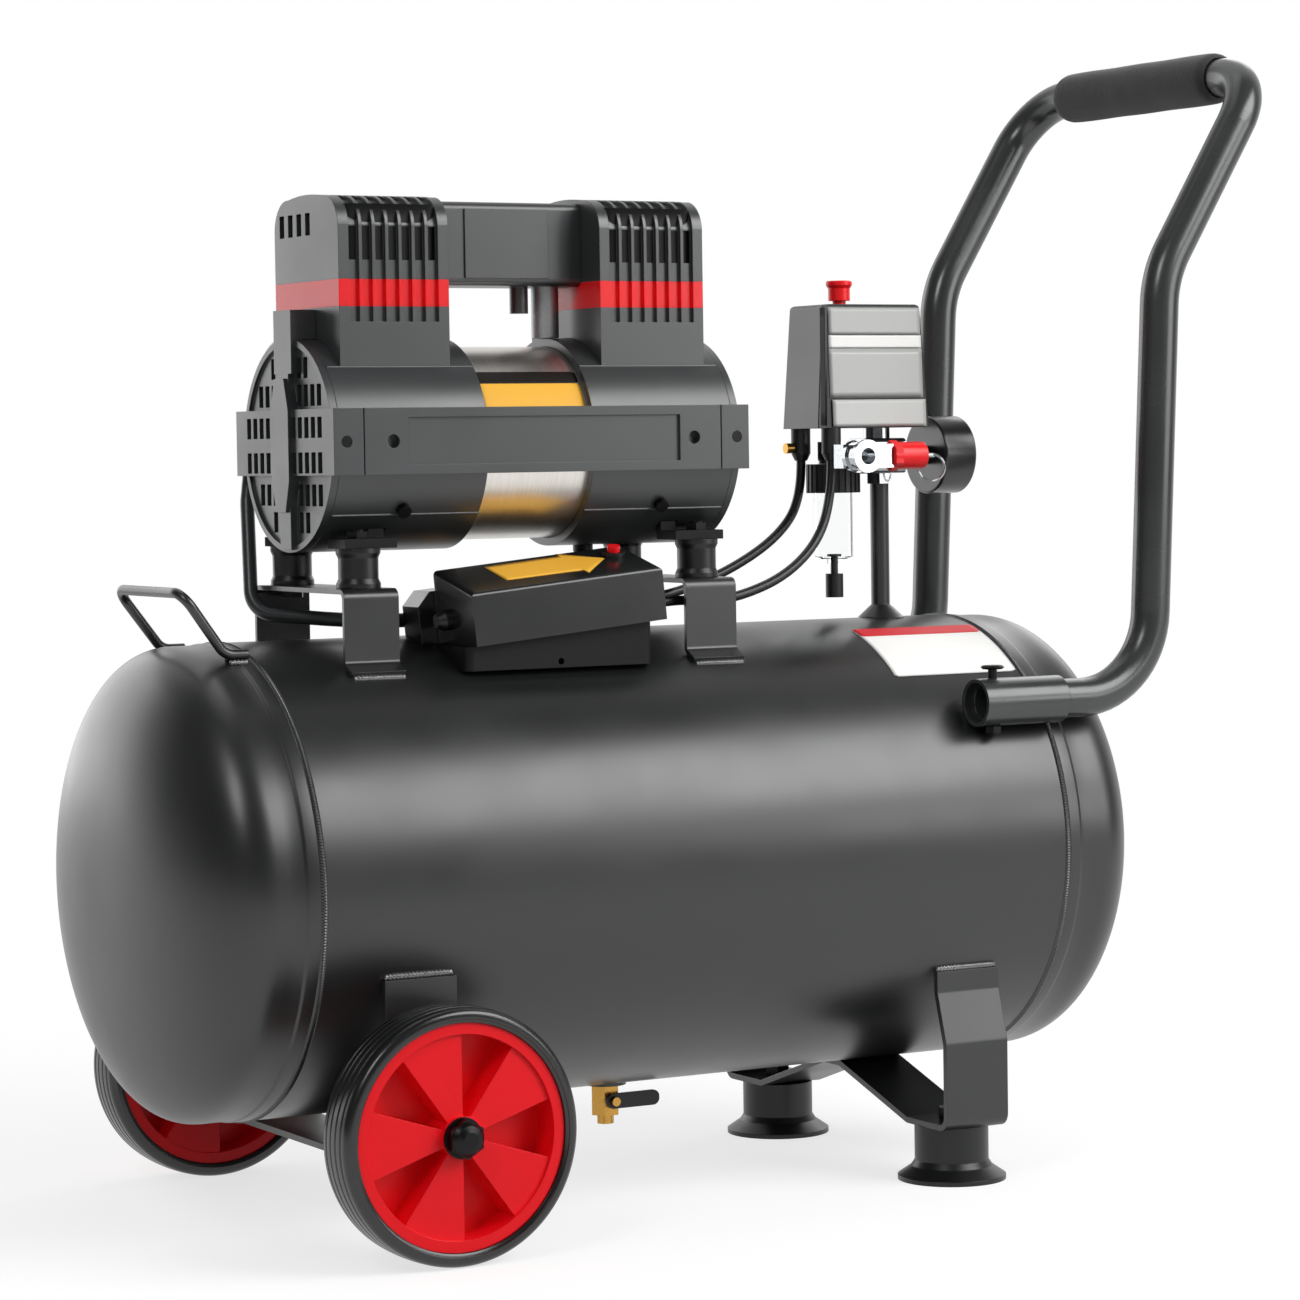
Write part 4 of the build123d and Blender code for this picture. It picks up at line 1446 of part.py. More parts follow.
# ================================================================ tank drain
def make_drain():
    top = TANK_LIFT - PORT_HEIGHT
    body = hexagon(DRAIN_BODY_R, (DRAIN_X, 0, top), DOWN, DRAIN_BODY_HEIGHT)
    body += rod(PORT_THREAD_R - FIT, (DRAIN_X, 0, top), UP, PORT_HEIGHT + 3)
    body += rod(DRAIN_BALL_R, (DRAIN_X, 0, top - DRAIN_BODY_HEIGHT), DOWN, DRAIN_MOUTH)
    stem_z = top - DRAIN_BODY_HEIGHT / 2
    face_y = -DRAIN_BODY_R
    body += rod(DRAIN_BALL_R, (DRAIN_X, 0, stem_z), (0, -1, 0), DRAIN_BODY_R)
    body += rod(LEVER_PIN_R, (DRAIN_X, 0, stem_z), (0, -1, 0), DRAIN_BODY_R + DRAIN_STEM_LENGTH)
    body -= rod(DRAIN_MOUTH_R, (DRAIN_X, 0, top - DRAIN_BODY_HEIGHT - DRAIN_MOUTH), UP, 2 * DRAIN_MOUTH)
    keep("drain_valve", body)
    lever_y = face_y - SIDE_GAP
    lever = block((DRAIN_X - LEVER_WIDTH / 2, DRAIN_X + LEVER_LENGTH), (lever_y - LEVER_T, lever_y),
                  (stem_z - LEVER_WIDTH / 2, stem_z + LEVER_WIDTH / 2))
    lever = fillet(lever.edges().filter_by(Axis.Y), LEVER_WIDTH / 2 - 0.5)
    lever -= rod(LEVER_PIN_R + RUN, (DRAIN_X, lever_y + 1, stem_z), (0, -1, 0), LEVER_T + 2)
    keep("drain_lever", lever)


# ================================================================ cables
def make_cables():
    """The two leads from the pressure switch, to the motor's underside and to the box."""
    wall_z = MOTOR_Z - sqrt((SHROUD_R + SEAT) ** 2 - MOTOR_GLAND[1] ** 2)
    end = (*MOTOR_GLAND, wall_z - MOTOR_GLAND_LENGTH)
    keep("cable_glands", gland(end, UP, MOTOR_GLAND_LENGTH + 2) - motor_rod(SHROUD_R + SEAT, 0, MOTOR_HALF))
    foot = SWITCH_Z[0] - SWITCH_GLAND_LENGTH
    far, near = SWITCH_GLAND_Y
    x = SWITCH_GLAND_X
    span, low = x - end[0], TANK_TOP + CABLE_LOW
    cable("motor_cable", [(x, far, foot), (x, far, foot - MOTOR_LEAD_DROPS[0]),
                          (x - 0.114 * span, far - 1, foot - MOTOR_LEAD_DROPS[1]),
                          (x - 0.366 * span, far - 4, foot - MOTOR_LEAD_DROPS[2]),
                          (end[0] + 0.36 * span, 10, low + LEAD_SAG),
                          (end[0] + 0.131 * span, 8.5, low), (*MOTOR_GLAND, end[2] - MOTOR_LEAD_RISE), end],
          CABLE_R)
    port = box_spot(BOX_LENGTH + BOX_GLAND_LENGTH, *BOX_GLAND_RIGHT)
    lead = box_spot(BOX_LENGTH + BOX_GLAND_LENGTH + BOX_LEAD_RUN, *BOX_GLAND_RIGHT)
    span = x - lead[0]
    cable("box_cable", [(x, near, foot), (x, near, foot - BOX_LEAD_DROPS[0]),
                        (x - 0.093 * span, near - 6, foot - BOX_LEAD_DROPS[1]),
                        (x - 0.328 * span, near - 16, foot - BOX_LEAD_DROPS[2]),
                        (x - 0.641 * span, near - 25, low + LEAD_SAG),
                        (lead[0] + 0.142 * span, lead[1] + 1, lead[2] - 1), lead, port], CABLE_R)


# ================================================================ everything together
def make_all():
    make_tank()
    make_straps()
    make_wheels()
    make_feet()
    make_handles()
    make_mounts()
    make_motor()
    make_drive()
    make_cylinders()
    make_towers()
    make_bridge()
    make_shrouds()
    make_grilles()
    make_side_plates()
    make_box()
    make_switch()
    make_fittings()
    make_filter()
    make_gauge()
    make_drain()
    make_delivery()
    make_cables()


make_all()
os.makedirs("parts", exist_ok=True)
for name, solids in nodes.items():
    placed = Compound(solids).moved(Location((-MID_X, 0, 0)))
    export_step(placed, "parts/" + name + ".step")
print(len(nodes), "nodes, middle at", round(MID_X, 3))
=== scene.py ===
# %% [markdown]
# # A portable air compressor, dressed around its CAD model
# The machine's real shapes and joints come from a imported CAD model, the frame. This script
# gives every CAD piece its finish and adds what a casting or a moulding has and the plain
# solids lack.

# %% Load the frame
from math import cos, pi, radians, sin, sqrt, tan

import bpy
import numpy as np
from mathutils import Matrix, Vector


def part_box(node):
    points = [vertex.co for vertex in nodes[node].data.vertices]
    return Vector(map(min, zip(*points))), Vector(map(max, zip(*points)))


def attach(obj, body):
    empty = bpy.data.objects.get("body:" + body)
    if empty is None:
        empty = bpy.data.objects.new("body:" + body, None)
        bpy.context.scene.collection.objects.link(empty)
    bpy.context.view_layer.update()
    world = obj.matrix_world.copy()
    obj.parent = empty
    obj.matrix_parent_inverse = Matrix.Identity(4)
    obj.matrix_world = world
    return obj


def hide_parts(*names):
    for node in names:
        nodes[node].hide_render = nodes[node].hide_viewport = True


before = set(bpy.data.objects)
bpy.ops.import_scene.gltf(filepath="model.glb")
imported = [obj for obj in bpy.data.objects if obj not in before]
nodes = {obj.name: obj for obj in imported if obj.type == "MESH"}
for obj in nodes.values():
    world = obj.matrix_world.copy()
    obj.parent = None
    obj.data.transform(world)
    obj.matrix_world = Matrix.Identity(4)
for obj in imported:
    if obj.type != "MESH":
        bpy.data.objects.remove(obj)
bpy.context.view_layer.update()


# %% [markdown]
# ## The camera
# A product shot from the wheel end, low and a little to the left. A long lens keeps the tank's
# lines nearly parallel. A camera could be moved by hand until the view looks right, but angles
# can be repeated and read: it stands on a line from its target, turned by an azimuth and an
# elevation, and it is rolled by less than a degree.

# %% Camera
MM = 0.001
AZIMUTH = radians(-29.4)
ELEVATION = radians(2.86)
ROLL = radians(-0.85)
SENSOR = 36.0
LENS = 111.74
TARGET = Vector((-0.01684, 0.0, 0.35237))
DISTANCE = 2.6765
FAR_CLIP = 50.0

back = Vector((sin(AZIMUTH) * cos(ELEVATION), -cos(AZIMUTH) * cos(ELEVATION), sin(ELEVATION)))
right = (-back).cross(Vector((0, 0, 1))).normalized()
up = right.cross(-back)
rolled_right = right * cos(ROLL) + up * sin(ROLL)
rolled_up = up * cos(ROLL) - right * sin(ROLL)
lens = bpy.data.cameras.new("camera")
lens.lens = LENS
lens.sensor_width = SENSOR
lens.clip_end = FAR_CLIP
camera = bpy.data.objects.new("camera", lens)
bpy.context.scene.collection.objects.link(camera)
camera.matrix_world = Matrix((
    (*rolled_right, 0), (*rolled_up, 0), (*back, 0), (0, 0, 0, 1))).transposed()
camera.matrix_world.translation = TARGET + back * DISTANCE
bpy.context.scene.camera = camera
print("camera at", tuple(round(c, 3) for c in camera.matrix_world.translation))


# %% [markdown]
# ## Colours and shader nodes
# Every finish below is a small tree of shader nodes. Such a tree could be wired in the shader
# editor, but a few helpers keep it short here. Colours are picked as sRGB hex values, which one
# function turns to the linear values that a shader works in. One function adds a node: its
# settings are plain attributes, and each input is a value or another node's output socket.

# %% Colours
def linear(colour):
    """Hex sRGB to linear: each channel c becomes c / 12.92, or ((c + 0.055) / 1.055) ** 2.4."""
    parts = [int(colour[i:i + 2], 16) / 255 for i in (1, 3, 5)]
    return (*[c / 12.92 if c < 0.04045 else ((c + 0.055) / 1.055) ** 2.4 for c in parts], 1.0)


print("middle grey #808080 is", round(linear("#808080")[0], 3), "in linear light")


# %% Shader nodes
materials = {}


def add(tree, kind, inputs=(), **settings):
    """Adds a node; inputs pairs a socket's name or number with a value or an output socket."""
    made = tree.nodes.new("ShaderNode" + kind)
    for key, value in settings.items():
        setattr(made, key, value)
    for key, value in dict(inputs).items():
        socket = made.inputs[key]
        if isinstance(value, bpy.types.NodeSocket):
            tree.links.new(value, socket)
        else:
            socket.default_value = value
    return made


def blank(name):
    """A new node material: its tree, its Principled shader and its object coordinates."""
    made = bpy.data.materials.new(name)
    made.use_nodes = True
    materials[name] = made
    tree = made.node_tree
    return tree, tree.nodes["Principled BSDF"], add(tree, "TexCoord").outputs["Object"]


def spread_over(tree, noise, low, high, start=0.3, stop=0.7):
    """Stretches a noise's middle band, from start to stop, over the values from low to high."""
    ends = {"From Min": start, "From Max": stop, "To Min": low, "To Max": high}
    return add(tree, "MapRange", {"Value": noise.outputs["Fac"], **ends}).outputs[0]


def rough_skin(tree, shader, noise, depth, edge):
    """Normal bumped by a noise of depth mm, on edges rounded in shading by edge mm."""
    rounded = add(tree, "Bevel", {"Radius": edge * MM}, samples=4)
    bump = add(tree, "Bump", {"Height": noise.outputs["Fac"], "Distance": depth * MM,
                              "Strength": 1.0, "Normal": rounded.outputs[0]})
    tree.links.new(bump.outputs[0], shader.inputs["Normal"])


print("helpers ready, materials so far:", len(materials))


# %% [markdown]
# ## Painted and moulded surfaces
# Most of the machine is powder-coated steel or moulded plastic. Both are one colour with a
# little unevenness, and a fine texture that breaks the reflections: the orange peel of the
# powder, or the spark-eroded grain of the mould. The same recipe makes them all. Broad noise
# moves the colour and roughness a little, fine noise is the bump, and a bevelled normal
# rounds each hard edge, so that it catches a line of light as a real edge does.

# %% The recipe for coats and mouldings
BROAD_SCALE = 14.0      # patches of about 70 mm
GLOSS_SPREAD = 0.04


def coated(name, colour, roughness, grain, depth, mottle=0.08, edge=0.6, metallic=0.0, **sockets):
    """Colour times 1 +- mottle, roughness +- 0.04, bump of depth mm from grain mm noise, and
    edges rounded in shading by edge mm. Other sockets of the shader are set by their names."""
    tree, shader, place = blank(name)
    broad = add(tree, "TexNoise", {"Vector": place, "Scale": BROAD_SCALE, "Detail": 5.0})
    fine = add(tree, "TexNoise", {"Vector": place, "Scale": 1 / (grain * MM), "Detail": 2.0})
    tone = spread_over(tree, broad, 1 - mottle, 1 + mottle)
    shade = add(tree, "HueSaturation", {"Color": linear(colour), "Value": tone})
    gloss = spread_over(tree, broad, roughness - GLOSS_SPREAD, roughness + GLOSS_SPREAD)
    tree.links.new(shade.outputs[0], shader.inputs["Base Color"])
    tree.links.new(gloss, shader.inputs["Roughness"])
    rough_skin(tree, shader, fine, depth, edge)
    shader.inputs["Metallic"].default_value = metallic
    for socket, value in sockets.items():
        shader.inputs[socket.replace("_", " ")].default_value = value


print("coats have patches of", round(1000 / BROAD_SCALE), "mm")


# %% Paints, rubbers and plastics
# Powder coat on the tank: thick, half gloss, with a soft orange peel about 2 mm across.
coated("charcoal_powder_coat", "#161717", 0.33, 2.2, 0.010, mottle=0.05, Specular_IOR_Level=0.8)
# The same powder on thin bent straps, a little blacker.
coated("black_powder_coat", "#181919", 0.34, 1.6, 0.012, mottle=0.06, Specular_IOR_Level=0.8)
# Wet enamel on the handle tube: smoother and glossier, with a metallic depth.
coated("graphite_enamel", "#464847", 0.26, 3.0, 0.006, mottle=0.05, metallic=0.5, Specular_IOR_Level=0.8)
# Glass-filled nylon covers with an eroded grain of about half a millimetre.
coated("grey_nylon", "#2d2f30", 0.36, 0.6, 0.014, mottle=0.04, Specular_IOR_Level=0.9)
coated("black_nylon", "#0f1010", 0.44, 0.6, 0.020, mottle=0.05)
# Glossy ABS of the electrical box, smooth enough to mirror the room softly.
coated("black_gloss_abs", "#191a1a", 0.22, 1.2, 0.006, mottle=0.05, Specular_IOR_Level=0.7)
# Polypropylene wheels and ABS trim in bright red.
coated("red_polypropylene", "#ee0c1a", 0.36, 0.9, 0.012, mottle=0.04, Specular_IOR_Level=0.3)
coated("red_abs", "#ee1018", 0.30, 0.9, 0.008, mottle=0.04, Specular_IOR_Level=0.4)
# Carbon-filled rubbers: the tyre is polished by its mould, the feet are half gloss.
coated("tyre_rubber", "#0d0e0e", 0.24, 1.0, 0.010, mottle=0.08, Specular_IOR_Level=0.7)
coated("nitrile_rubber", "#101111", 0.36, 0.7, 0.02, mottle=0.10)
# Soft PVC sheath of the leads.
coated("pvc_sheath", "#111112", 0.34, 0.8, 0.01, mottle=0.06)
print("materials:", len(materials))


# %% Enamels, welds and labels
# Epoxy-painted capacitor cans.
coated("capacitor_epoxy", "#c9c9c2", 0.35, 1.0, 0.01, mottle=0.03)
# Matt black: heat-proof enamel on the pump's castings, and painted shade on the sheets behind the tower
# slots, on the box's tray and, in part, on a strip of the switch cover.
coated("black_enamel_and_painted_shade", "#0b0b0b", 0.55, 1.5, 0.05, mottle=0.08, Specular_IOR_Level=0.25)
# Satin grey paint on the bent delivery pipe.
coated("grey_pipe_enamel", "#3c3f40", 0.32, 2.0, 0.006, mottle=0.06, metallic=0.3)
# Black paint that has run over a weld's ripples: glossy, because it pooled there.
coated("painted_weld", "#2a2b2b", 0.20, 1.2, 0.03, mottle=0.10, metallic=0.35, Specular_IOR_Level=1.0)
# A short weld under a thin mist of paint, coloured pale steel grey: partly its bare ridges, partly a
# painted glint of the lamps.
coated("grey_weld_painted_glint", "#8d8e8d", 0.24, 1.2, 0.05, mottle=0.25, metallic=0.75)
# Printed vinyl film of the labels, half matt in amber, white and signal red. The black is ink.
coated("amber_vinyl", "#f2b53c", 0.50, 2.5, 0.004, mottle=0.03, Specular_IOR_Level=0.25)
coated("white_vinyl", "#f2f1ee", 0.50, 2.5, 0.004, mottle=0.01, Specular_IOR_Level=0.25)
coated("red_vinyl", "#d3202c", 0.50, 2.5, 0.004, mottle=0.03, Specular_IOR_Level=0.25)
coated("black_vinyl", "#17120e", 0.34, 2.5, 0.004, mottle=0.03)
# Foil label with a silver-grey ink, and the paler bare step of the moulding under it.
coated("grey_foil", "#b2b3b0", 0.34, 1.6, 0.005, mottle=0.03)
coated("pale_grey_abs", "#c2c3c0", 0.36, 0.8, 0.010, mottle=0.03)
# Baked white enamel of the gauge's dial.
coated("dial_enamel", "#f4f4f0", 0.30, 2.0, 0.003, mottle=0.01)
print("materials:", len(materials))


# %% [markdown]
# ## Bare metals
# A metal's look is its reflection, so its recipe works on roughness and the direction of the
# fine scratches. Castings are dull and grainy, plating is nearly a mirror, and the motor's
# steel band was brushed as it turned, so its scratches run round it.

# %% The recipe for metals
def bare_metal(name, colour, roughness, grain, depth, spread=0.06, edge=0.3, stretch=(1, 1, 1)):
    """Roughness +- spread and bump of depth mm from one noise of grain mm, whose coordinates
    are multiplied by stretch, so that a small number there draws the grain out that way."""
    tree, shader, place = blank(name)
    drawn = add(tree, "Mapping", {"Vector": place, "Scale": stretch})
    fine = add(tree, "TexNoise", {"Vector": drawn.outputs[0], "Scale": 1 / (grain * MM), "Detail": 3.0})
    tone = spread_over(tree, fine, 0.86, 1.1, 0.25, 0.75)
    shade = add(tree, "HueSaturation", {"Color": linear(colour), "Value": tone})
    gloss = spread_over(tree, fine, roughness - spread, roughness + spread)
    tree.links.new(shade.outputs[0], shader.inputs["Base Color"])
    tree.links.new(gloss, shader.inputs["Roughness"])
    rough_skin(tree, shader, fine, depth, edge)
    shader.inputs["Metallic"].default_value = 1.0


bare_metal("brushed_steel_band", "#e2ded8", 0.34, 0.5, 0.006, stretch=(1, 0.02, 0.02))
bare_metal("blackened_steel", "#2b2b2c", 0.36, 1.0, 0.008)
bare_metal("machined_steel", "#a9abad", 0.30, 0.6, 0.006, stretch=(1, 0.1, 0.1))
bare_metal("cast_aluminium", "#a5a7a8", 0.50, 1.4, 0.05)
bare_metal("chrome_plate", "#b4b7ba", 0.10, 2.0, 0.002, spread=0.04)
bare_metal("brass", "#c99a4c", 0.28, 1.0, 0.006)
print("materials:", len(materials))


# %% [markdown]
# ## Foam and clear plastics
# The grip is nitrile foam: a skin of fine open cells, which is what a Voronoi pattern draws.
# The filter bowl is clear polycarbonate and the gauge's window is acrylic. Both only need
# transmission and a trace of haze. Their walls are thin, so the refractive index is set low:
# such a wall hardly bends what is seen through it.

# %% Foam
FOAM_CELL = 1.3
FOAM_DEPTH = 0.35

tree, shader, place = blank("nitrile_foam")
cells = add(tree, "TexVoronoi", {"Vector": place, "Scale": 1 / (FOAM_CELL * MM)})
patchy = add(tree, "TexNoise", {"Vector": place, "Scale": 60.0, "Detail": 4.0})
dusty = spread_over(tree, patchy, 0.8, 1.3)
shade = add(tree, "HueSaturation", {"Color": linear("#2c2b2b"), "Value": dusty})
pores = add(tree, "Bump", {"Height": cells.outputs["Distance"], "Distance": FOAM_DEPTH * MM,
                           "Strength": 0.8})
tree.links.new(shade.outputs[0], shader.inputs["Base Color"])
tree.links.new(pores.outputs[0], shader.inputs["Normal"])
shader.inputs["Roughness"].default_value = 0.85
shader.inputs["Sheen Weight"].default_value = 0.25
print("foam cells of", FOAM_CELL, "mm")


# %% Polycarbonate and acrylic
RIPPLE_DEPTH = 0.05

for name, index, haze in (("clear_polycarbonate", 1.12, 0.0), ("clear_acrylic", 1.3, 0.02)):
    tree, shader, place = blank(name)
    ripple = add(tree, "TexNoise", {"Vector": place, "Scale": 90.0, "Detail": 2.0})
    wave = add(tree, "Bump", {"Height": ripple.outputs["Fac"], "Distance": RIPPLE_DEPTH * MM,
                              "Strength": 0.5})
    tree.links.new(wave.outputs[0], shader.inputs["Normal"])
    shader.inputs["Base Color"].default_value = linear("#fcfdfd")
    shader.inputs["Transmission Weight"].default_value = 1.0
    shader.inputs["IOR"].default_value = index
    shader.inputs["Roughness"].default_value = haze
print("materials:", len(materials))


# %% [markdown]
# ## Which node has which finish
# On a bench one would sort the pieces by what they are made of: painted steel, nylon covers,
# rubber, castings, brass. A material could be given to each piece in its own line, but a table
# from finish to nodes reads like that sorting, and shows at once what was forgotten. The CAD
# pieces keep their own meshes and only change material.

# %% Finishes of the CAD nodes
FINISHES = {
    "charcoal_powder_coat": ["tank_shell", "tank_domes"],
    "black_powder_coat": ["leg_straps", "front_handle", "support_pipe", "motor_saddles"],
    "graphite_enamel": ["rear_handle", "handle_sockets"],
    "grey_nylon": ["tower_hoods", "bridge_cover", "motor_shrouds", "end_grilles", "side_plates",
                   "switch_housing"],
    "black_nylon": ["cooling_fans", "cable_glands", "filter_head", "filter_drain_knob", "drain_lever",
                    "overload_breaker", "switch_cover"],
    "black_gloss_abs": ["box_cover", "gauge_case"],
    "red_polypropylene": ["left_wheel_rim", "right_wheel_rim"],
    "red_abs": ["tower_trims", "reset_button", "switch_knob", "safety_valve", "gauge_needle"],
    "tyre_rubber": ["left_tyre", "right_tyre"],
    "nitrile_rubber": ["rubber_feet", "rubber_mounts"],
    "pvc_sheath": ["motor_cable", "box_cable"],
    "capacitor_epoxy": ["capacitors"],
    "brushed_steel_band": ["motor_casing"],
    "grey_pipe_enamel": ["delivery_pipe"],
    # The box's tray gets this black as painted shade of its inward-leaning face.
    "black_enamel_and_painted_shade": ["crankcases", "cylinders", "cylinder_heads", "box_tray"],
    "blackened_steel": ["frame_bolts", "cover_screws"],
    "machined_steel": ["stator", "rotor", "eccentrics", "shaft_bearings"],
    "cast_aluminium": ["front_piston", "rear_piston", "crossover_pipe"],
    "chrome_plate": ["manifold", "outlet_coupling", "valve_pull_ring"],
    "brass": ["brass_fittings", "drain_valve"],
    "nitrile_foam": ["handle_grip"],
    "clear_polycarbonate": ["filter_bowl"],
    "clear_acrylic": ["gauge_lens"],
}


def dress(target, finish):
    """Gives the whole of an object one finish."""
    target.data.materials.clear()
    target.data.materials.append(materials[finish])


for finish, names in FINISHES.items():
    for name in names:
        dress(nodes[name], finish)
left_out = set(nodes) - {name for names in FINISHES.values() for name in names}
print("nodes with no finish:", sorted(left_out))


# %% [markdown]
# ## The two leads
# Two rubbery leads leave the pressure switch straight down and swing over, one to the motor's
# underside and one to the electrical box. A lead could be a mesh swept along arcs, which looks
# like bent wire. A NURBS curve with a round bevel is smooth everywhere: it repeats the CAD
# route's points as its control points, and its order of 3 keeps it close to them.

# %% One lead
SEAM = 0.324            # the tank's front weld seam is this far before the frame's origin
LEAD_WIDTH = 6.4 * MM
STEPS_ALONG = 10
STEPS_ROUND = 5


def spots(*points):
    """Points in millimetres from the front weld seam, as metres in the frame's axes."""
    return [(x * MM - SEAM, y * MM, z * MM) for x, y, z in points]


def lead(name, points, node):
    """A round cable along a NURBS line with these control points."""
    curve = bpy.data.curves.new(name, "CURVE")
    curve.dimensions = "3D"
    spline = curve.splines.new("NURBS")
    spline.points.add(len(points) - 1)
    for knot, point in zip(spline.points, points):
        knot.co = (*point, 1.0)
    spline.order_u = 3
    spline.use_endpoint_u = True
    spline.resolution_u = STEPS_ALONG
    curve.bevel_depth = LEAD_WIDTH / 2
    curve.bevel_resolution = STEPS_ROUND
    curve.use_fill_caps = True
    made = bpy.data.objects.new(name, curve)
    bpy.context.scene.collection.objects.link(made)
    dress(made, "pvc_sheath")
    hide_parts(node)
    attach(made, "compressor")
    return made


print("leads are", round(LEAD_WIDTH / MM, 1), "mm thick")


motor_route = spots((437, 17, 476), (437, 17, 450), (417, 16, 424), (373, 13, 401), (325, 10, 387),
                    (285, 8.5, 384.5), (262, 8, 392.8), (262, 8, 414.8))
box_route = spots((437, -22, 476), (437, -22, 456), (423.9, -28, 424), (390.9, -38, 400),
                  (347, -47, 387), (316.5, -53, 386.3), (296.5, -54, 387.3), (277.6, -54, 385.5))
motor_lead = lead("motor_lead", motor_route, "motor_cable")
box_lead = lead("box_lead", box_route, "box_cable")
print("leads:", motor_lead.name, box_lead.name)


# %% [markdown]
# ## Surfaces from arrays
# The pieces that the CAD model lacks could be pushed and pulled by hand from primitives. Here
# each is a surface with a formula, so its size can be read and changed: a grid of points worked
# out with whole arrays, one row for each step of u and one column for each step of v. The
# helper joins the grid with quads, closes it round where asked, and turns a closed shape whose
# volume comes out negative, so that its faces point outwards.

# %% From a mesh to a piece
def piece(name, mesh, finish, body="compressor"):
    """An object of a mesh, with its finish and the body that it rides on."""
    made = bpy.data.objects.new(name, mesh)
    bpy.context.scene.collection.objects.link(made)
    dress(made, finish)
    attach(made, body)
    return made


def middle_and_half(node):
    """Middle of a node's box in metres, and half of its sizes in millimetres."""
    low, high = (np.array(corner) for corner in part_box(node))
    return (low + high) / 2, (high - low) / 2 / MM


print("the grip is", round(2 * middle_and_half("handle_grip")[1][1]), "mm long")


# %% From a grid of points to a piece
def surface(name, grid, finish, body="compressor", wrap=(False, False), caps=False,
            facing=None, wall=0.0, crease=40):
    """Quads between neighbours of a rows x columns x 3 grid. wrap joins the last row or column
    to the first, caps closes both end rows, facing says which way an open sheet looks, and
    wall is the thickness in mm that an open sheet gets behind it."""
    rows, columns = grid.shape[:2]
    index = np.arange(rows * columns).reshape(rows, columns)
    ends = [index[0, ::-1], index[-1]] if caps else []
    index = np.vstack([index, index[:1]]) if wrap[0] else index
    index = np.hstack([index, index[:, :1]]) if wrap[1] else index
    quads = np.stack([index[:-1, :-1], index[:-1, 1:], index[1:, 1:], index[1:, :-1]], -1)
    quads = quads.reshape(-1, 4)
    points = grid.reshape(-1, 3)
    a, b, c, d = (points[quads[:, k]] - points.mean(0) for k in range(4))
    across = np.cross(c - a, d - b)
    toward = across.sum(0) @ np.array(facing) if facing else ((a + b + c + d) * across).sum()
    order = -1 if toward < 0 else 1
    faces = quads[:, ::order].tolist() + [end[::order].tolist() for end in ends]
    mesh = bpy.data.meshes.new(name)
    mesh.from_pydata(points.tolist(), [], faces)
    mesh.polygons.foreach_set("use_smooth", np.ones(len(faces), bool))
    mesh.set_sharp_from_angle(angle=radians(crease))
    made = piece(name, mesh, finish, body)
    if wall:
        shell = made.modifiers.new("wall", "SOLIDIFY")
        shell.thickness = wall * MM
        shell.offset = -1.0
    return made


def turned(profile, centre, axis, segments):
    """Grid of a profile of (radius, height) rows in mm, carried round a line along X or Y
    through a centre in the frame: point = centre + height * axis + radius * (cos a, sin a)."""
    radius, height = (np.asarray(profile, float) * MM).T
    angle = np.linspace(0, 2 * pi, segments, endpoint=False)[:, None]
    ring = {"x": (height + 0 * angle, radius * np.cos(angle), radius * np.sin(angle)),
            "y": (radius * np.sin(angle), height + 0 * angle, radius * np.cos(angle))}[axis]
    return np.stack(ring, -1) + np.array(centre)


print("a ring of 8 points has the grid", turned([(10, 0)], (0, 0, 0), "x", 8).shape)


# %% [markdown]
# ## The tank's pressed ends
# Each end is a sheet pressed to a dish whose curve tightens smoothly towards its collar, so
# light runs over it without a break. The CAD model makes it of two arcs. Here the outer line is
# a rounded square law turned about the tank's axis, and the collar has the same step as there.

# %% Pressed ends
TANK_R = 150.0
TANK_Z = 218.3
SHELL_LENGTH = 535.9
DISH_R = 149.0          # radius at the foot of the dish
DISH_FOOT = 30.0        # distance of that foot from the seam
DISH_RISE = 54.3
DISH_WALL = 3.0
DISH_POWER = 2.5
EDGE_POWER = 2.3


def dish_profile(wall):
    """Outline in (radius, distance from the seam): foot + rise (1 - (r / R) ** 2.5) ** (1 / 2.3)
    from the middle out, then the collar with its 1 mm step, all moved in by a wall."""
    foot_r = DISH_R - wall
    r = foot_r * np.sin(np.linspace(0.004, pi / 2, 90))
    curve = (1 - np.minimum(r / foot_r, 1) ** DISH_POWER) ** (1 / EDGE_POWER)
    depth = DISH_FOOT + (DISH_RISE - wall) * curve
    collar = np.array([(149, 24), (149, 14), (149.2, 13.2), (149.8, 12.4), (150, 11.5), (150, 0.3)])
    return np.vstack([np.stack([r, depth], -1), collar - (wall, 0)])


both = np.vstack([dish_profile(0.0), dish_profile(DISH_WALL)[::-1]])
for way, seam, name in ((-1, 0.0, "front_dish"), (1, SHELL_LENGTH, "rear_dish")):
    grid = turned(both * (1, way), spots((seam, 0, TANK_Z))[0], "x", 160).swapaxes(0, 1)
    dish = surface(name, grid, "charcoal_powder_coat", wrap=(False, True), caps=True)
    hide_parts("tank_domes")
print("dishes are", round(both[:, 1].max(), 1), "mm deep")


# %% [markdown]
# ## Tyres
# A solid rubber tyre comes out of a two-part mould: a crowned tread with shallow grooves, round
# shoulders, and a fine raised line on each side wall where the mould's ring sat. That is one
# closed profile turned about the axle. It replaces the plain ring of the CAD model.

# %% A tyre's outline
SHOULDER = 5.0
TREAD_STEPS = 121
CROWN = 0.5
GROOVE_DEPTH = 1.2
GROOVE_HALF = 0.7
GROOVES = (-9.5, -3.3, 3.3, 9.5)


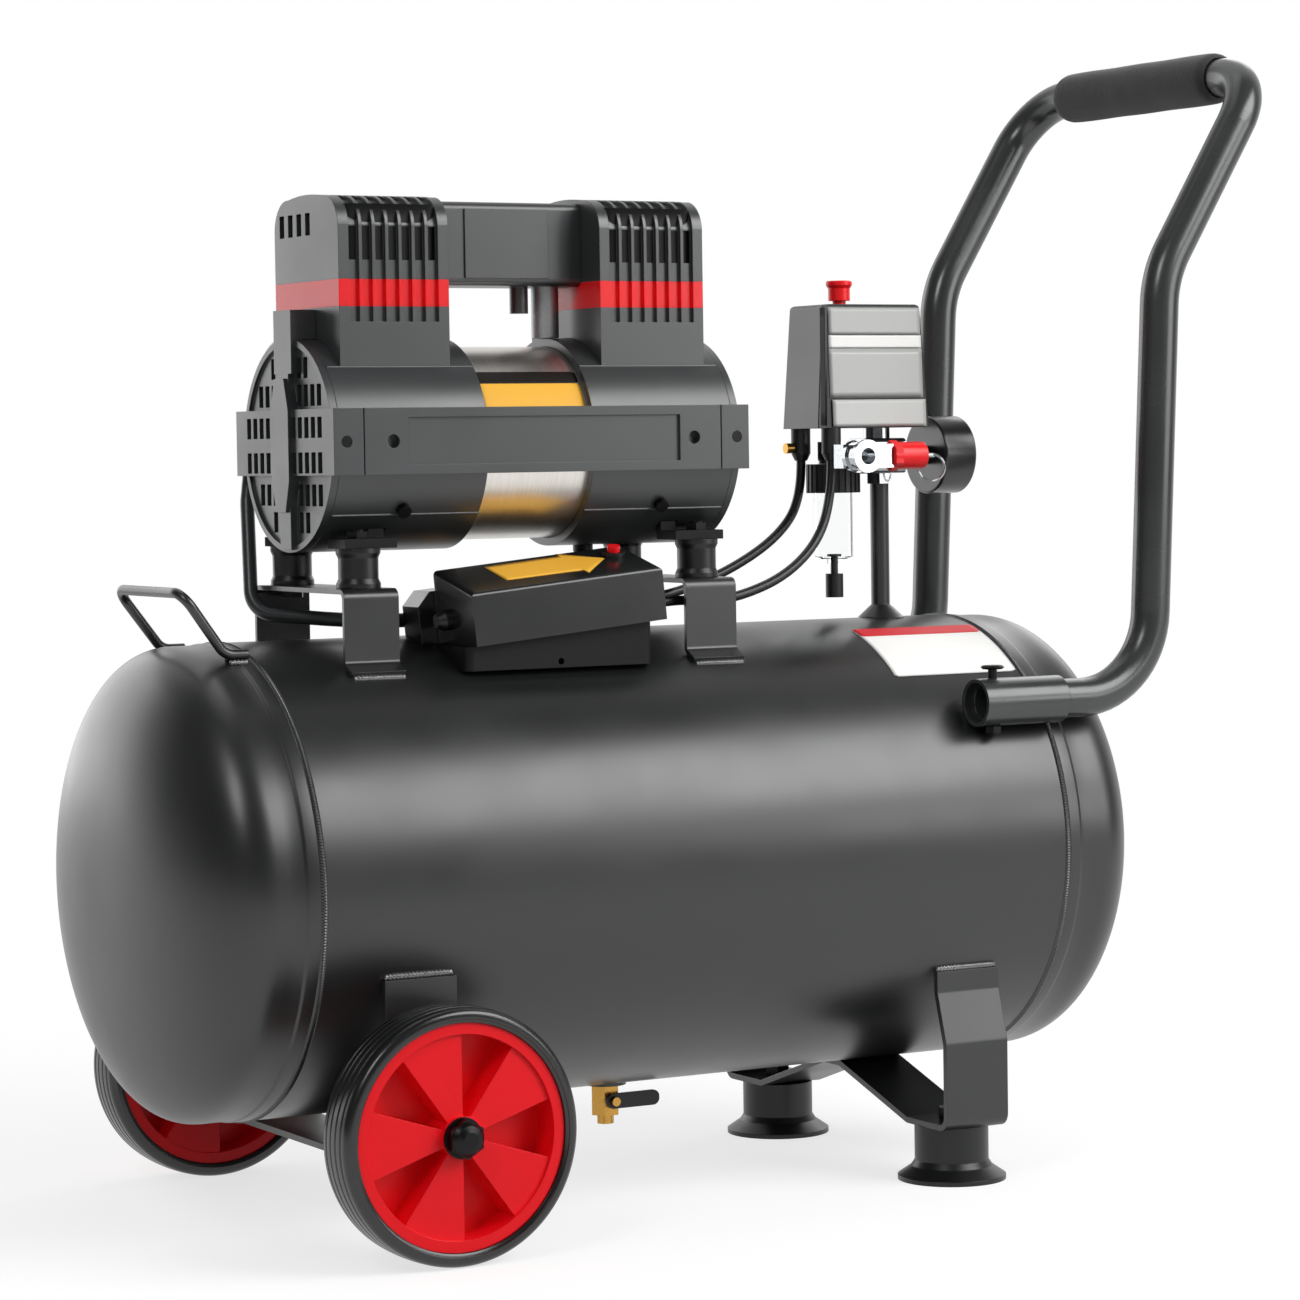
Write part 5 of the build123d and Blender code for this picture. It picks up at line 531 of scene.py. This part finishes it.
def tyre_profile(outer, bead, half):
    """Closed outline in (radius, height): the side wall rises from the bead, has a line 0.1 mm
    proud, turns over a quarter-circle shoulder of 5 mm, and crosses a tread that falls off
    with the square of the height and is cut by four grooves."""
    height = np.linspace(-half + SHOULDER, half - SHOULDER, TREAD_STEPS)
    grooves = sum(np.exp(-((height - groove) / GROOVE_HALF) ** 4) for groove in GROOVES)
    tread = outer - CROWN * (height / (half - SHOULDER)) ** 2 - GROOVE_DEPTH * grooves
    turn = np.linspace(pi / 2, 0, 9)[:-1]
    shoulder = outer - CROWN - SHOULDER + SHOULDER * np.sin(turn), half - SHOULDER + SHOULDER * np.cos(turn)
    wall = np.array([(outer - 5.6, half - 0.1), (outer - 6.4, half), (outer - 7.0, half - 0.1),
                     (outer - 7.3, half - 0.7), (bead + 0.8, half - 1.0), (bead, half - 1.6)])
    upper = np.vstack([np.stack([tread, height], -1), np.stack(shoulder, -1), wall])
    lower = upper[TREAD_STEPS:][::-1] * (1, -1)
    return np.vstack([lower, upper])


print("tyre grooves:", len(GROOVES))


# %% Both tyres
BEAD_GAP = 0.1

rim_r = middle_and_half("left_wheel_rim")[1][2]
for name in ("left", "right"):
    centre, (_, half, outer) = middle_and_half(name + "_tyre")
    grid = turned(tyre_profile(outer, rim_r + BEAD_GAP, half), centre, "y", 160)
    tyre = surface(name + "_tyre_tread", grid, "tyre_rubber", name + "_wheel",
                   wrap=(True, True), crease=32)
    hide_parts(name + "_tyre")
print("tyre radius", round(outer, 1), "mm, width", round(2 * half, 1), "mm")


# %% [markdown]
# ## The foam grip
# The grip is a sleeve of nitrile foam, pushed over the bar. It was cut from a long tube, so its
# ends are flat with edges that have gone round, and a hand has left it a little uneven. Foam
# that something presses on would need a simulation, but this sleeve only sits on its bar, so a
# turned surface is enough. Its radius dips at both ends.

# %% Grip
GRIP_BORE = 14.0
END_ROUND = 3.5
WEAR = 0.25

centre, (_, half, outer) = middle_and_half("handle_grip")
height = np.linspace(-1, 1, 61)
sleeve = outer - END_ROUND * np.abs(height) ** 40 - WEAR * (1 - np.cos(3 * pi * height)) / 2
bore = [(GRIP_BORE, half), (GRIP_BORE, -half)]
profile = np.vstack([np.stack([sleeve, half * height], -1), bore])
grid = turned(profile, centre, "y", 72)
grip = surface("foam_grip", grid, "nitrile_foam", "handle", wrap=(True, True), crease=50)
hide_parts("handle_grip")
print("grip", round(2 * half), "mm long,", round(2 * outer, 1), "mm thick")


# %% [markdown]
# ## Weld beads
# Straps, saddles, sockets and the front handle are welded to the tank, and only a thin mist of
# paint lies over these short welds. Their pale steel grey is partly the bare ridges and partly a
# painted glint. A bump texture would keep their outline straight, so each bead is a real surface:
# a round bar along the joint whose radius swells and falls once for every pool of metal, about
# every 2.6 mm.

# %% One bead
POOL = 2.6
SWELL = 0.22


def bead(name, start, end, radius):
    """Bar from start to end in seam mm: radius times 1 + 0.22 sin(2 pi s / 2.6), tapered at
    both ends by the fourth root of 1.02 - t ** 8, with t from -1 to 1."""
    start, end = np.array(spots(start, end))
    length = np.linalg.norm(end - start)
    t = np.linspace(-1, 1, max(12, int(length / MM * 3)))
    swell = 1 + SWELL * np.sin(2 * pi * (t + 1) * length / MM / (2 * POOL))
    thick = radius * MM * swell * (1.02 - np.abs(t) ** 8) ** 0.25
    along = (end - start) / length
    across = np.cross(along, (0, 0.6, 0.8))
    across /= np.linalg.norm(across)
    over = np.cross(along, across)
    angle = np.linspace(0, 2 * pi, 12, endpoint=False)
    ring = np.cos(angle)[:, None] * across + np.sin(angle)[:, None] * over
    middle = start + (t[:, None] + 1) / 2 * (end - start)
    return surface(name, middle[:, None] + thick[:, None, None] * ring, "grey_weld_painted_glint",
                   wrap=(False, True), caps=True)


def on_tank(x, y, upper):
    """Point of the tank's outer face above (upper 1) or below (upper -1) its middle."""
    return x, y, TANK_Z + upper * sqrt(TANK_R ** 2 - y ** 2)


print("bead pools every", POOL, "mm")


# %% All beads
# For each joint: where the bead starts and ends along the tank, how far from the middle it
# starts and ends across, whether it is above (1) or below (-1) the tank's middle, its radius.
WELDS = {
    "axle_strap": (40, 86, 141.9, 141.9, -1, 2.5),
    "foot_strap": (445.5, 491.5, 129.4, 129.4, -1, 2.5),
    "socket_top": (479, 533, 118.2, 118.2, 1, 2.2),
    "socket_foot": (479, 533, 124.0, 124.0, 1, 2.2),
    "handle_in": (-18.5, -6, 46.6, 46.6, 1, 1.7),
    "handle_out": (-18.5, -6, 53.4, 53.4, 1, 1.7),
    "front_saddle": (53.5, 89.3, 77.6, 77.8, 1, 2.2),
    "rear_saddle": (297, 333, 77.6, 77.8, 1, 2.2),
}

for side, tag in ((-1, "left"), (1, "right")):
    for joint, (x0, x1, y0, y1, upper, radius) in WELDS.items():
        start = on_tank(x0, side * y0, upper)
        end = on_tank(x1, side * y1, upper)
        bead(f"weld_{joint}_{tag}", start, end, radius)
print("weld beads:", 2 * len(WELDS))


# %% [markdown]
# ## Welds round the tank
# The shell and its two pressed ends were joined by a torch while the tank turned, which leaves
# a low ring with a curved ripple for every pool. Light picks out these ripples at the tank's
# outline, where a texture would stay flat, so the ring is a surface round the axis. Its height
# is a rounded bump across times a fine wave along.

# %% Ring welds
RING_HALF = 2.2
RIPPLES = 523
RING_SUNK = 0.3
RING_FOOT = 1.0


def weld_ring(name, seam):
    """Ring of half width 2.2 mm on the tank: its height is 0.35 + 0.75 cos(pi w / 2) of the way
    w across, times 1 + 0.3 sin(523 a - 2.5 w ** 2), the curved ripples of the pools."""
    across = np.linspace(-1, 1, 9)
    angle = np.linspace(0, 2 * pi, 4 * RIPPLES, endpoint=False)[:, None]
    ripple = 1 + 0.3 * np.sin(RIPPLES * angle - 2.5 * across ** 2)
    reach = (TANK_R - RING_SUNK + (0.35 + 0.75 * np.cos(pi * across / 2)) * ripple) * MM
    foot = (TANK_R - RING_FOOT) * MM + 0 * reach
    along = (seam + RING_HALF * across) * MM - SEAM + 0 * angle
    outside, inside = (np.stack([along, r * np.sin(angle), TANK_Z * MM + r * np.cos(angle)], -1)
                       for r in (reach, foot))
    return surface(name, np.concatenate([outside, inside[:, ::-1]], 1), "painted_weld",
                   wrap=(True, True))


weld_ring("front_ring_weld", -2.0)
weld_ring("rear_ring_weld", SHELL_LENGTH + 2.0)
print("ring welds at", TANK_R, "mm from the tank's axis")


# %% [markdown]
# ## Ribs and lips of the motor's shrouds
# The half shells are stiffened by a fine rib along each flank and by a rolled lip round the
# steel band, both too small for the CAD model. They could be cut into the shells' meshes, but
# laid on as their own pieces they leave those untouched. A rib is a round bar half sunk into
# the flank, and a lip is a thin ring.

# %% Ribs and lips
MOTOR_X = 193.2
MOTOR_Z = 491.0
SHROUD_R = 67.5
SHROUD_SPAN = (38.0, 140.0)     # from the motor's middle to both ends of a shroud
RIB_R = 0.9
RIB_SUNK = 0.2
RIB_LEVELS = {"lower": -44.0, "upper": 48.2}
LIP_R = 1.8


def rib(name, span, y, z):
    """Round bar along X between two places in seam mm: (x, y + r cos a, z + r sin a)."""
    angle = np.linspace(0, 2 * pi, 12, endpoint=False)
    ring = np.stack([0 * angle, RIB_R * np.cos(angle), RIB_R * np.sin(angle)], -1) * MM
    middle = np.array(spots((span[0], y, z), (span[1], y, z)))
    return surface(name, middle[:, None] + ring, "grey_nylon", wrap=(False, True),
                   caps=True)


angle = np.linspace(0, 2 * pi, 24, endpoint=False)
lip = np.stack([SHROUD_R - LIP_R + LIP_R * np.cos(angle), LIP_R * np.sin(angle)], -1)
for end, tag in ((-1, "front"), (1, "rear")):
    span = sorted(MOTOR_X + end * reach for reach in SHROUD_SPAN)
    for side, flank in ((-1, "left"), (1, "right")):
        for level, lift in RIB_LEVELS.items():
            y = side * (sqrt(SHROUD_R ** 2 - lift ** 2) - RIB_SUNK)
            rib(f"shroud_rib_{tag}_{flank}_{level}", span, y, MOTOR_Z + lift)
    centre = spots((MOTOR_X + end * (SHROUD_SPAN[0] + LIP_R), 0, MOTOR_Z))[0]
    surface(f"shroud_lip_{tag}", turned(lip, centre, "x", 120), "grey_nylon",
            wrap=(True, True))
print("ribs and lips on shrouds of radius", SHROUD_R, "mm")


# %% [markdown]
# ## Black sheets of painted shade in the towers
# Behind a tower's slots a black sheet stands for the shade inside the tower. It is painted
# shade, which is why the slots look black. A flat dark plate behind each slot would do from one
# side only. So it is a tube of rounded rectangular section: a superellipse carried up Z.

# %% Painted shade in the towers
TOWER_X = {"front": 100.7, "rear": 285.7}
SHADE_SHEET_SPAN = (581.0, 641.0)
SHADE_SHEET_HALF = (35.6, 44.6)
SQUARENESS = 8
SHEET = 0.4

angle = np.linspace(0, 2 * pi, 96, endpoint=False)[:, None]
height = np.linspace(*SHADE_SHEET_SPAN, 5) + 0 * angle
square = (np.abs(np.cos(angle)) ** SQUARENESS + np.abs(np.sin(angle)) ** SQUARENESS) ** (-1 / SQUARENESS)
wide = SHADE_SHEET_HALF[0] * square * np.cos(angle) + 0 * height
deep = SHADE_SHEET_HALF[1] * square * np.sin(angle) + 0 * height
for tag, x in TOWER_X.items():
    grid = np.stack([(x + wide) * MM - SEAM, deep * MM, height * MM], -1)
    surface("tower_shade_sheet_" + tag, grid, "black_enamel_and_painted_shade", wrap=(True, False), wall=SHEET)
print("baffles are", SHADE_SHEET_SPAN[1] - SHADE_SHEET_SPAN[0], "mm tall")


# %% [markdown]
# ## Curved labels
# The tank and the motor's band carry labels. Here each is a bare patch of vinyl in the label's
# own colours. It could be painted by the material, but real vinyl has a thickness and an edge
# that catch the light. So it is a piece of a cylinder: a grid along X and round the axis, a
# little outside the face that it is stuck to, with its corners pulled in on a small radius.

# %% Curved labels
BAND_R = 62.0
LABEL_LIFT = 0.35
LABEL_WALL = 0.25
LABEL_CORNER = 1.5


def curved_label(name, x, turn, radius, centre_z, finish):
    """Sheet on a cylinder along X in seam mm: y = r sin a, z = centre + r cos a, with the
    angle a from straight up, in degrees, negative towards -Y, and corners rounded by 1.5 mm."""
    u, v = np.meshgrid(np.linspace(-1, 1, 33), np.linspace(-1, 1, 33), indexing="ij")
    wide = (x[1] - x[0]) / 2
    tall = radius * radians(turn[1] - turn[0]) / 2
    near_end = LABEL_CORNER - np.minimum(wide * (1 - np.abs(u)), LABEL_CORNER)
    pull = 1 - (LABEL_CORNER - np.sqrt(LABEL_CORNER ** 2 - near_end ** 2)) / tall
    angle = np.radians((turn[0] + turn[1]) / 2) + v * pull * radians(turn[1] - turn[0]) / 2
    along = (x[0] + x[1]) / 2 + u * wide
    grid = np.stack([along * MM - SEAM, radius * np.sin(angle) * MM,
                     (centre_z + radius * np.cos(angle)) * MM], -1)
    return surface(name, grid, finish, facing=(0, -1, 1), wall=LABEL_WALL)


face_r = TANK_R + LABEL_LIFT
curved_label("tank_label", (438, 534.4), (-40, -16.3), face_r, TANK_Z, "white_vinyl")
curved_label("tank_label_edge", (438.3, 534.1), (-21.4, -16.4), face_r + LABEL_LIFT, TANK_Z,
             "red_vinyl")
face_r = BAND_R + LABEL_LIFT
band_x = (MOTOR_X - SHROUD_SPAN[0] + 1.5, MOTOR_X + SHROUD_SPAN[0] - 1.5)
curved_label("band_label", band_x, (-76, -53), face_r, MOTOR_Z, "amber_vinyl")
curved_label("band_label_edge", band_x, (-53.2, -44), face_r, MOTOR_Z, "black_vinyl")
print("curved labels: tank and band")


# %% [markdown]
# ## Flat labels and plates
# The electrical box has an arrow-shaped amber label on its sloping lid. The switch has a foil
# label with a white line, and a paler step of the moulding below it. An outline could be
# filled with one many-sided face, but a grid between two rows of corners shades evenly and
# makes the arrow and the plates alike. Each sheet is set just off its face.

# %% The box's label
BOX_TILT = radians(5.4)
BOX_ORIGIN = np.array((133.0, -90.0, 364.0))
BOX_AXES = np.array(((cos(BOX_TILT), 0, sin(BOX_TILT)), (0, 1, 0), (-sin(BOX_TILT), 0, cos(BOX_TILT))))
BOX_EDGE = 33.5                 # height of the lid's near edge
BOX_SLOPE = 14.0 / 54.0         # its rise over its depth
BOX_FACING = (-0.09, -0.25, 0.964)
ARROW = ((33, 15, 45), (88, 14, 46), (88.2, 8, 51), (112, 30, 31))  # along, near edge, far edge


def fan_label(name, corners, finish, facing, lift):
    """Flat sheet in seam mm between a row of corners and its partner row: point =
    (1 - v) * near + v * far, with both rows refined by linear steps."""
    near, far = (np.asarray(row, float) for row in corners)
    steps = np.linspace(0, len(near) - 1, 24 * (len(near) - 1) + 1)
    knots = np.arange(len(near))
    rows = [np.stack([np.interp(steps, knots, row[:, k]) for k in range(3)], -1) for row in (near, far)]
    v = np.linspace(0, 1, 9)[None, :, None]
    grid = (rows[0][:, None] * (1 - v) + rows[1][:, None] * v + np.array(facing) * lift) * MM
    return surface(name, grid - (SEAM, 0, 0), finish, facing=facing, wall=LABEL_WALL)


def box_top(x, y):
    """Place on the box's sloping top from along and across distances in its own frame."""
    return BOX_ORIGIN + np.array((x, y, BOX_EDGE + BOX_SLOPE * y)) @ BOX_AXES


edges = ([box_top(x, near) for x, near, far in ARROW], [box_top(x, far) for x, near, far in ARROW])
fan_label("box_label", edges, "amber_vinyl", BOX_FACING, 0.3)
print("box label", ARROW[-1][0] - ARROW[0][0], "mm long")


# %% The switch's plates
SWITCH_LEAN = radians(2.8)
SWITCH_FOOT = (-28.0, 497.7)    # across and up, where the leaning face starts
SWITCH_FACING = (0, -cos(SWITCH_LEAN), sin(SWITCH_LEAN))
# For each plate: its two ends along X, its foot and top, its finish and its lift off the face.
PLATES = {
    "switch_label_top": (434, 507.2, 560.2, 578.6, "grey_foil", 0.5),
    "switch_label_line": (433.6, 507.6, 551.4, 559.9, "white_vinyl", 0.5),
    "switch_label": (433.4, 507.8, 517.6, 551.1, "grey_foil", 0.5),
    "switch_step": (434.6, 509.0, 498.4, 516.6, "pale_grey_abs", 1.3),
}
# The black strip along the cover's left side, as two rows of corners: partly the cover's own black, partly
# painted shade where the real cover steps in.
COVER_EDGE = [[(430, y, z) for y in (-27.6, -21.5)] for z in (499.5, 578.5)]


def face_place(x, z):
    """Place on the switch's leaning front face."""
    return x, SWITCH_FOOT[0] + (z - SWITCH_FOOT[1]) * tan(SWITCH_LEAN), z


fan_label("switch_cover_edge", COVER_EDGE, "black_enamel_and_painted_shade", (-1, 0, 0), 0.6)
for name, (x0, x1, z0, z1, finish, lift) in PLATES.items():
    rows = [[face_place(x, z) for x in (x0, x1)] for z in (z0, z1)]
    fan_label(name, rows, finish, SWITCH_FACING, lift)
print("plates on the switch:", len(PLATES) + 1)


# %% [markdown]
# ## The gauge's dial
# A white enamelled disc behind the window, with a scale of ticks from 0 to 12 bar over three
# quarters of a turn. The disc is a surface turned about the gauge's axis. The ticks are one
# mesh: the same thin box at every angle, made by multiplying its corners by each turn. The
# numbers are text, made a mesh and then placed.

# %% Dial
DIAL_R = 24.2
DIAL_HOLE = 1.3
DIAL_FACE = 0.25        # the dial's face and back, from its middle towards the window
DIAL_BACK = 0.05
DIAL_DEEP = 10.0        # from the case's rim back to the dial

centre, (half, _, _) = middle_and_half("gauge_case")
dial_centre = np.array((centre[0] + (half - DIAL_DEEP) * MM, 0, centre[2]))
outline = [(DIAL_HOLE, DIAL_FACE), (DIAL_R, DIAL_FACE), (DIAL_R, DIAL_BACK), (DIAL_HOLE, DIAL_BACK)]
disc = turned(outline, dial_centre, "x", 96)
surface("gauge_dial", disc, "dial_enamel", wrap=(True, True))
print("dial radius", DIAL_R, "mm")


# %% Ticks
HALF_SCALE = 135.0      # degrees from straight up to both ends of the scale
TICKS = 61
TICK_END = 22.0
TICK_SPAN = (0.45, 0.2)  # front and back of the printed line

turn = np.radians(np.linspace(-HALF_SCALE, HALF_SCALE, TICKS))
major = np.arange(TICKS) % 5 == 0
inner = np.where(major, 17.5, 19.5)
half = np.where(major, 0.35, 0.18)
out = np.stack([0 * turn, np.sin(turn), np.cos(turn)], -1)
across = np.stack([0 * turn, np.cos(turn), -np.sin(turn)], -1)
outer = np.full(TICKS, TICK_END)
edge = [r[:, None] * out + side * half[:, None] * across
        for r, side in ((inner, -1), (outer, -1), (outer, 1), (inner, 1))]
corners = np.stack([line + (height, 0, 0) for height in TICK_SPAN for line in edge], 1)
box_faces = np.array([(0, 3, 2, 1), (4, 5, 6, 7), (0, 1, 5, 4), (1, 2, 6, 5), (2, 3, 7, 6), (3, 0, 4, 7)])
faces = (box_faces[None] + 8 * np.arange(TICKS)[:, None, None]).reshape(-1, 4)
mesh = bpy.data.meshes.new("dial_ticks")
mesh.from_pydata((corners.reshape(-1, 3) * MM + dial_centre).tolist(), [], faces[:, ::-1].tolist())
piece("dial_ticks", mesh, "black_vinyl")
print("ticks:", TICKS, "of them long:", int(major.sum()))


# %% Numbers
FULL_SCALE = 12
NUMBER_SIZE = 6.0
NUMBER_R = 13.6
NUMBER_LIFT = 0.36
INK = 0.08
BOLD = 0.06

for value in range(0, FULL_SCALE + 1, 2):
    name = f"dial_number_{value}"
    words = bpy.data.curves.new(name, "FONT")
    words.body = str(value)
    words.size = NUMBER_SIZE * MM
    words.extrude = INK * MM
    words.offset = BOLD * MM
    words.align_x = "CENTER"
    words.align_y = "CENTER"
    holder = bpy.data.objects.new("words", words)
    bpy.context.scene.collection.objects.link(holder)
    mesh = bpy.data.meshes.new_from_object(holder.evaluated_get(bpy.context.evaluated_depsgraph_get()))
    bpy.data.objects.remove(holder)
    angle = radians(HALF_SCALE * (2 * value / FULL_SCALE - 1))
    x, y, z = dial_centre + np.array((NUMBER_LIFT, NUMBER_R * sin(angle), NUMBER_R * cos(angle))) * MM
    mesh.transform(Matrix(((0, 0, 1, x), (1, 0, 0, y), (0, 1, 0, z), (0, 0, 0, 1))))
    piece(name, mesh, "black_vinyl")
print("numbers from 0 to", FULL_SCALE)


# %% [markdown]
# ## The room
# A pale floor and a white surround, as in a product shot. The floor is a matt white surface
# that glows a little to the camera, so that only the machine's shadow is darker than the
# surround, and further out it fades into it. The surround gives an even, weaker light. What a
# mirror sees of it is white only behind the machine, as a paper backdrop is, and dark elsewhere,
# so that the dark paint shows broad highlights and not a flat grey.

# %% Rays that see the room
WHITE = (1, 1, 1, 1)


def greater(tree, a, b):
    """The larger of two values."""
    return add(tree, "Math", {0: a, 1: b}, operation="MAXIMUM").outputs[0]


def seeing_rays(tree):
    """The light path's outputs, and 1 for rays from the camera, a mirror or a clear piece."""
    path = add(tree, "LightPath").outputs
    mirrored = greater(tree, path["Is Glossy Ray"], path["Is Transmission Ray"])
    return path, greater(tree, path["Is Camera Ray"], mirrored)


print("rays that see the room: camera, glossy and transmission")


# %% Floor
FLOOR_HALF = 6.0
FADE = (0.75, 1.9)      # from where to where the floor fades into the surround
GLOW = (0.70, 1.0)      # what the camera sees of its own light, near and far
MATT = (0.34, 0.0)      # what it reflects, near and far

corners = [(x * FLOOR_HALF, y * FLOOR_HALF, 0) for x, y in ((-1, -1), (1, -1), (1, 1), (-1, 1))]
floor_mesh = bpy.data.meshes.new("floor")
floor_mesh.from_pydata(corners, [], [(0, 1, 2, 3)])
floor = bpy.data.objects.new("floor", floor_mesh)
bpy.context.scene.collection.objects.link(floor)
paper = bpy.data.materials.new("studio_paper")
paper.use_nodes = True
tree = paper.node_tree
tree.nodes.clear()
place = add(tree, "TexCoord").outputs["Object"]
distance = add(tree, "VectorMath", {0: place}, operation="LENGTH").outputs["Value"]
away = add(tree, "MapRange", {"Value": distance, "From Min": FADE[0], "From Max": FADE[1]},
           interpolation_type="SMOOTHSTEP").outputs[0]
path, seen = seeing_rays(tree)
level = add(tree, "MapRange", {"Value": away, "To Min": GLOW[0], "To Max": GLOW[1]})
strength = add(tree, "Math", {0: seen, 1: level.outputs[0]}, operation="MULTIPLY")
glow = add(tree, "Emission", {"Color": WHITE, "Strength": strength.outputs[0]})
tone = add(tree, "MapRange", {"Value": away, "To Min": MATT[0], "To Max": MATT[1]})
matt = add(tree, "BsdfDiffuse", {"Color": tone.outputs[0]})
both = add(tree, "AddShader", {0: matt.outputs[0], 1: glow.outputs[0]})
add(tree, "OutputMaterial", {"Surface": both.outputs[0]})
floor.data.materials.append(paper)
print("floor fades between", FADE, "m")


# %% Surround
SOFT_LIGHT = 0.40
FLATTEN = (1.0, 1.0, 0.4)       # makes the backdrop tall
PAPER_SIDE = (0.49, 0.87, 0.0)  # the side of the room where the paper hangs
PAPER_EDGE = (0.2, 0.75)
DARK_ROOM = 0.12

world = bpy.data.worlds.new("surround")
bpy.context.scene.world = world
world.use_nodes = True
tree = world.node_tree
tree.nodes.clear()
path, seen = seeing_rays(tree)
soft = add(tree, "Background", {"Color": (0.98, 0.99, 1.0, 1), "Strength": SOFT_LIGHT})
facing = add(tree, "TexCoord").outputs["Generated"]
flat = add(tree, "VectorMath", {0: facing, 1: FLATTEN}, operation="MULTIPLY")
flat = add(tree, "VectorMath", {0: flat.outputs[0]}, operation="NORMALIZE")
behind = add(tree, "VectorMath", {0: flat.outputs[0], 1: PAPER_SIDE}, operation="DOT_PRODUCT")
shown = add(tree, "MapRange", {"Value": behind.outputs["Value"], "From Min": PAPER_EDGE[0],
                               "From Max": PAPER_EDGE[1], "To Min": DARK_ROOM, "To Max": 1.0},
            interpolation_type="SMOOTHSTEP").outputs[0]
level = greater(tree, greater(tree, shown, path["Is Camera Ray"]), path["Is Transmission Ray"])
white = add(tree, "Background", {"Color": WHITE, "Strength": level})
blend = add(tree, "MixShader", {0: seen, 1: soft.outputs[0], 2: white.outputs[0]})
add(tree, "OutputWorld", {"Surface": blend.outputs[0]})
print("surround light", SOFT_LIGHT)


# %% [markdown]
# ## The lamps
# A studio lights such a machine with large softboxes, because small lamps make hard glints on
# its paint. The key stands to the front right and draws the broad highlight along the tank, and
# a low one next to it lights the covers. One on the left, one behind, one at the rear right and
# a weak one above open the shadows. All are at a level at which a colour looks as written.

# %% Lamps
# For each lamp: its place, the point that it faces, its width and height, and its power.
LAMPS = {
    "key_softbox": ((1.25, -1.7, 1.75), (0, 0, 0.3), (1.8, 1.3), 46),
    "low_softbox": ((1.75, -1.95, 0.72), (0, 0, 0.45), (1.3, 0.6), 10),
    "left_softbox": ((-1.9, -1.3, 2.0), (0, 0, 0.3), (0.7, 0.9), 14),
    "back_softbox": ((-0.75, 2.2, 0.9), (0, 0, 0.3), (1.9, 1.5), 13),
    "rim_softbox": ((1.7, 1.2, 1.5), (0.2, 0, 0.35), (0.8, 1.4), 6),
    "top_softbox": ((-0.2, 0.3, 2.2), (0, 0, 0.3), (1.2, 0.8), 2),
}

for name, (place, aim, (width, height), power) in LAMPS.items():
    light = bpy.data.lights.new(name, "AREA")
    light.shape = "RECTANGLE"
    light.size = width
    light.size_y = height
    light.energy = power
    softbox = bpy.data.objects.new(name, light)
    bpy.context.scene.collection.objects.link(softbox)
    turn = (Vector(aim) - Vector(place)).to_track_quat("-Z", "Y")
    softbox.matrix_world = Matrix.Translation(place) @ turn.to_matrix().to_4x4()
bpy.context.scene.view_settings.view_transform = "Standard"
print("lamps:", len(LAMPS))
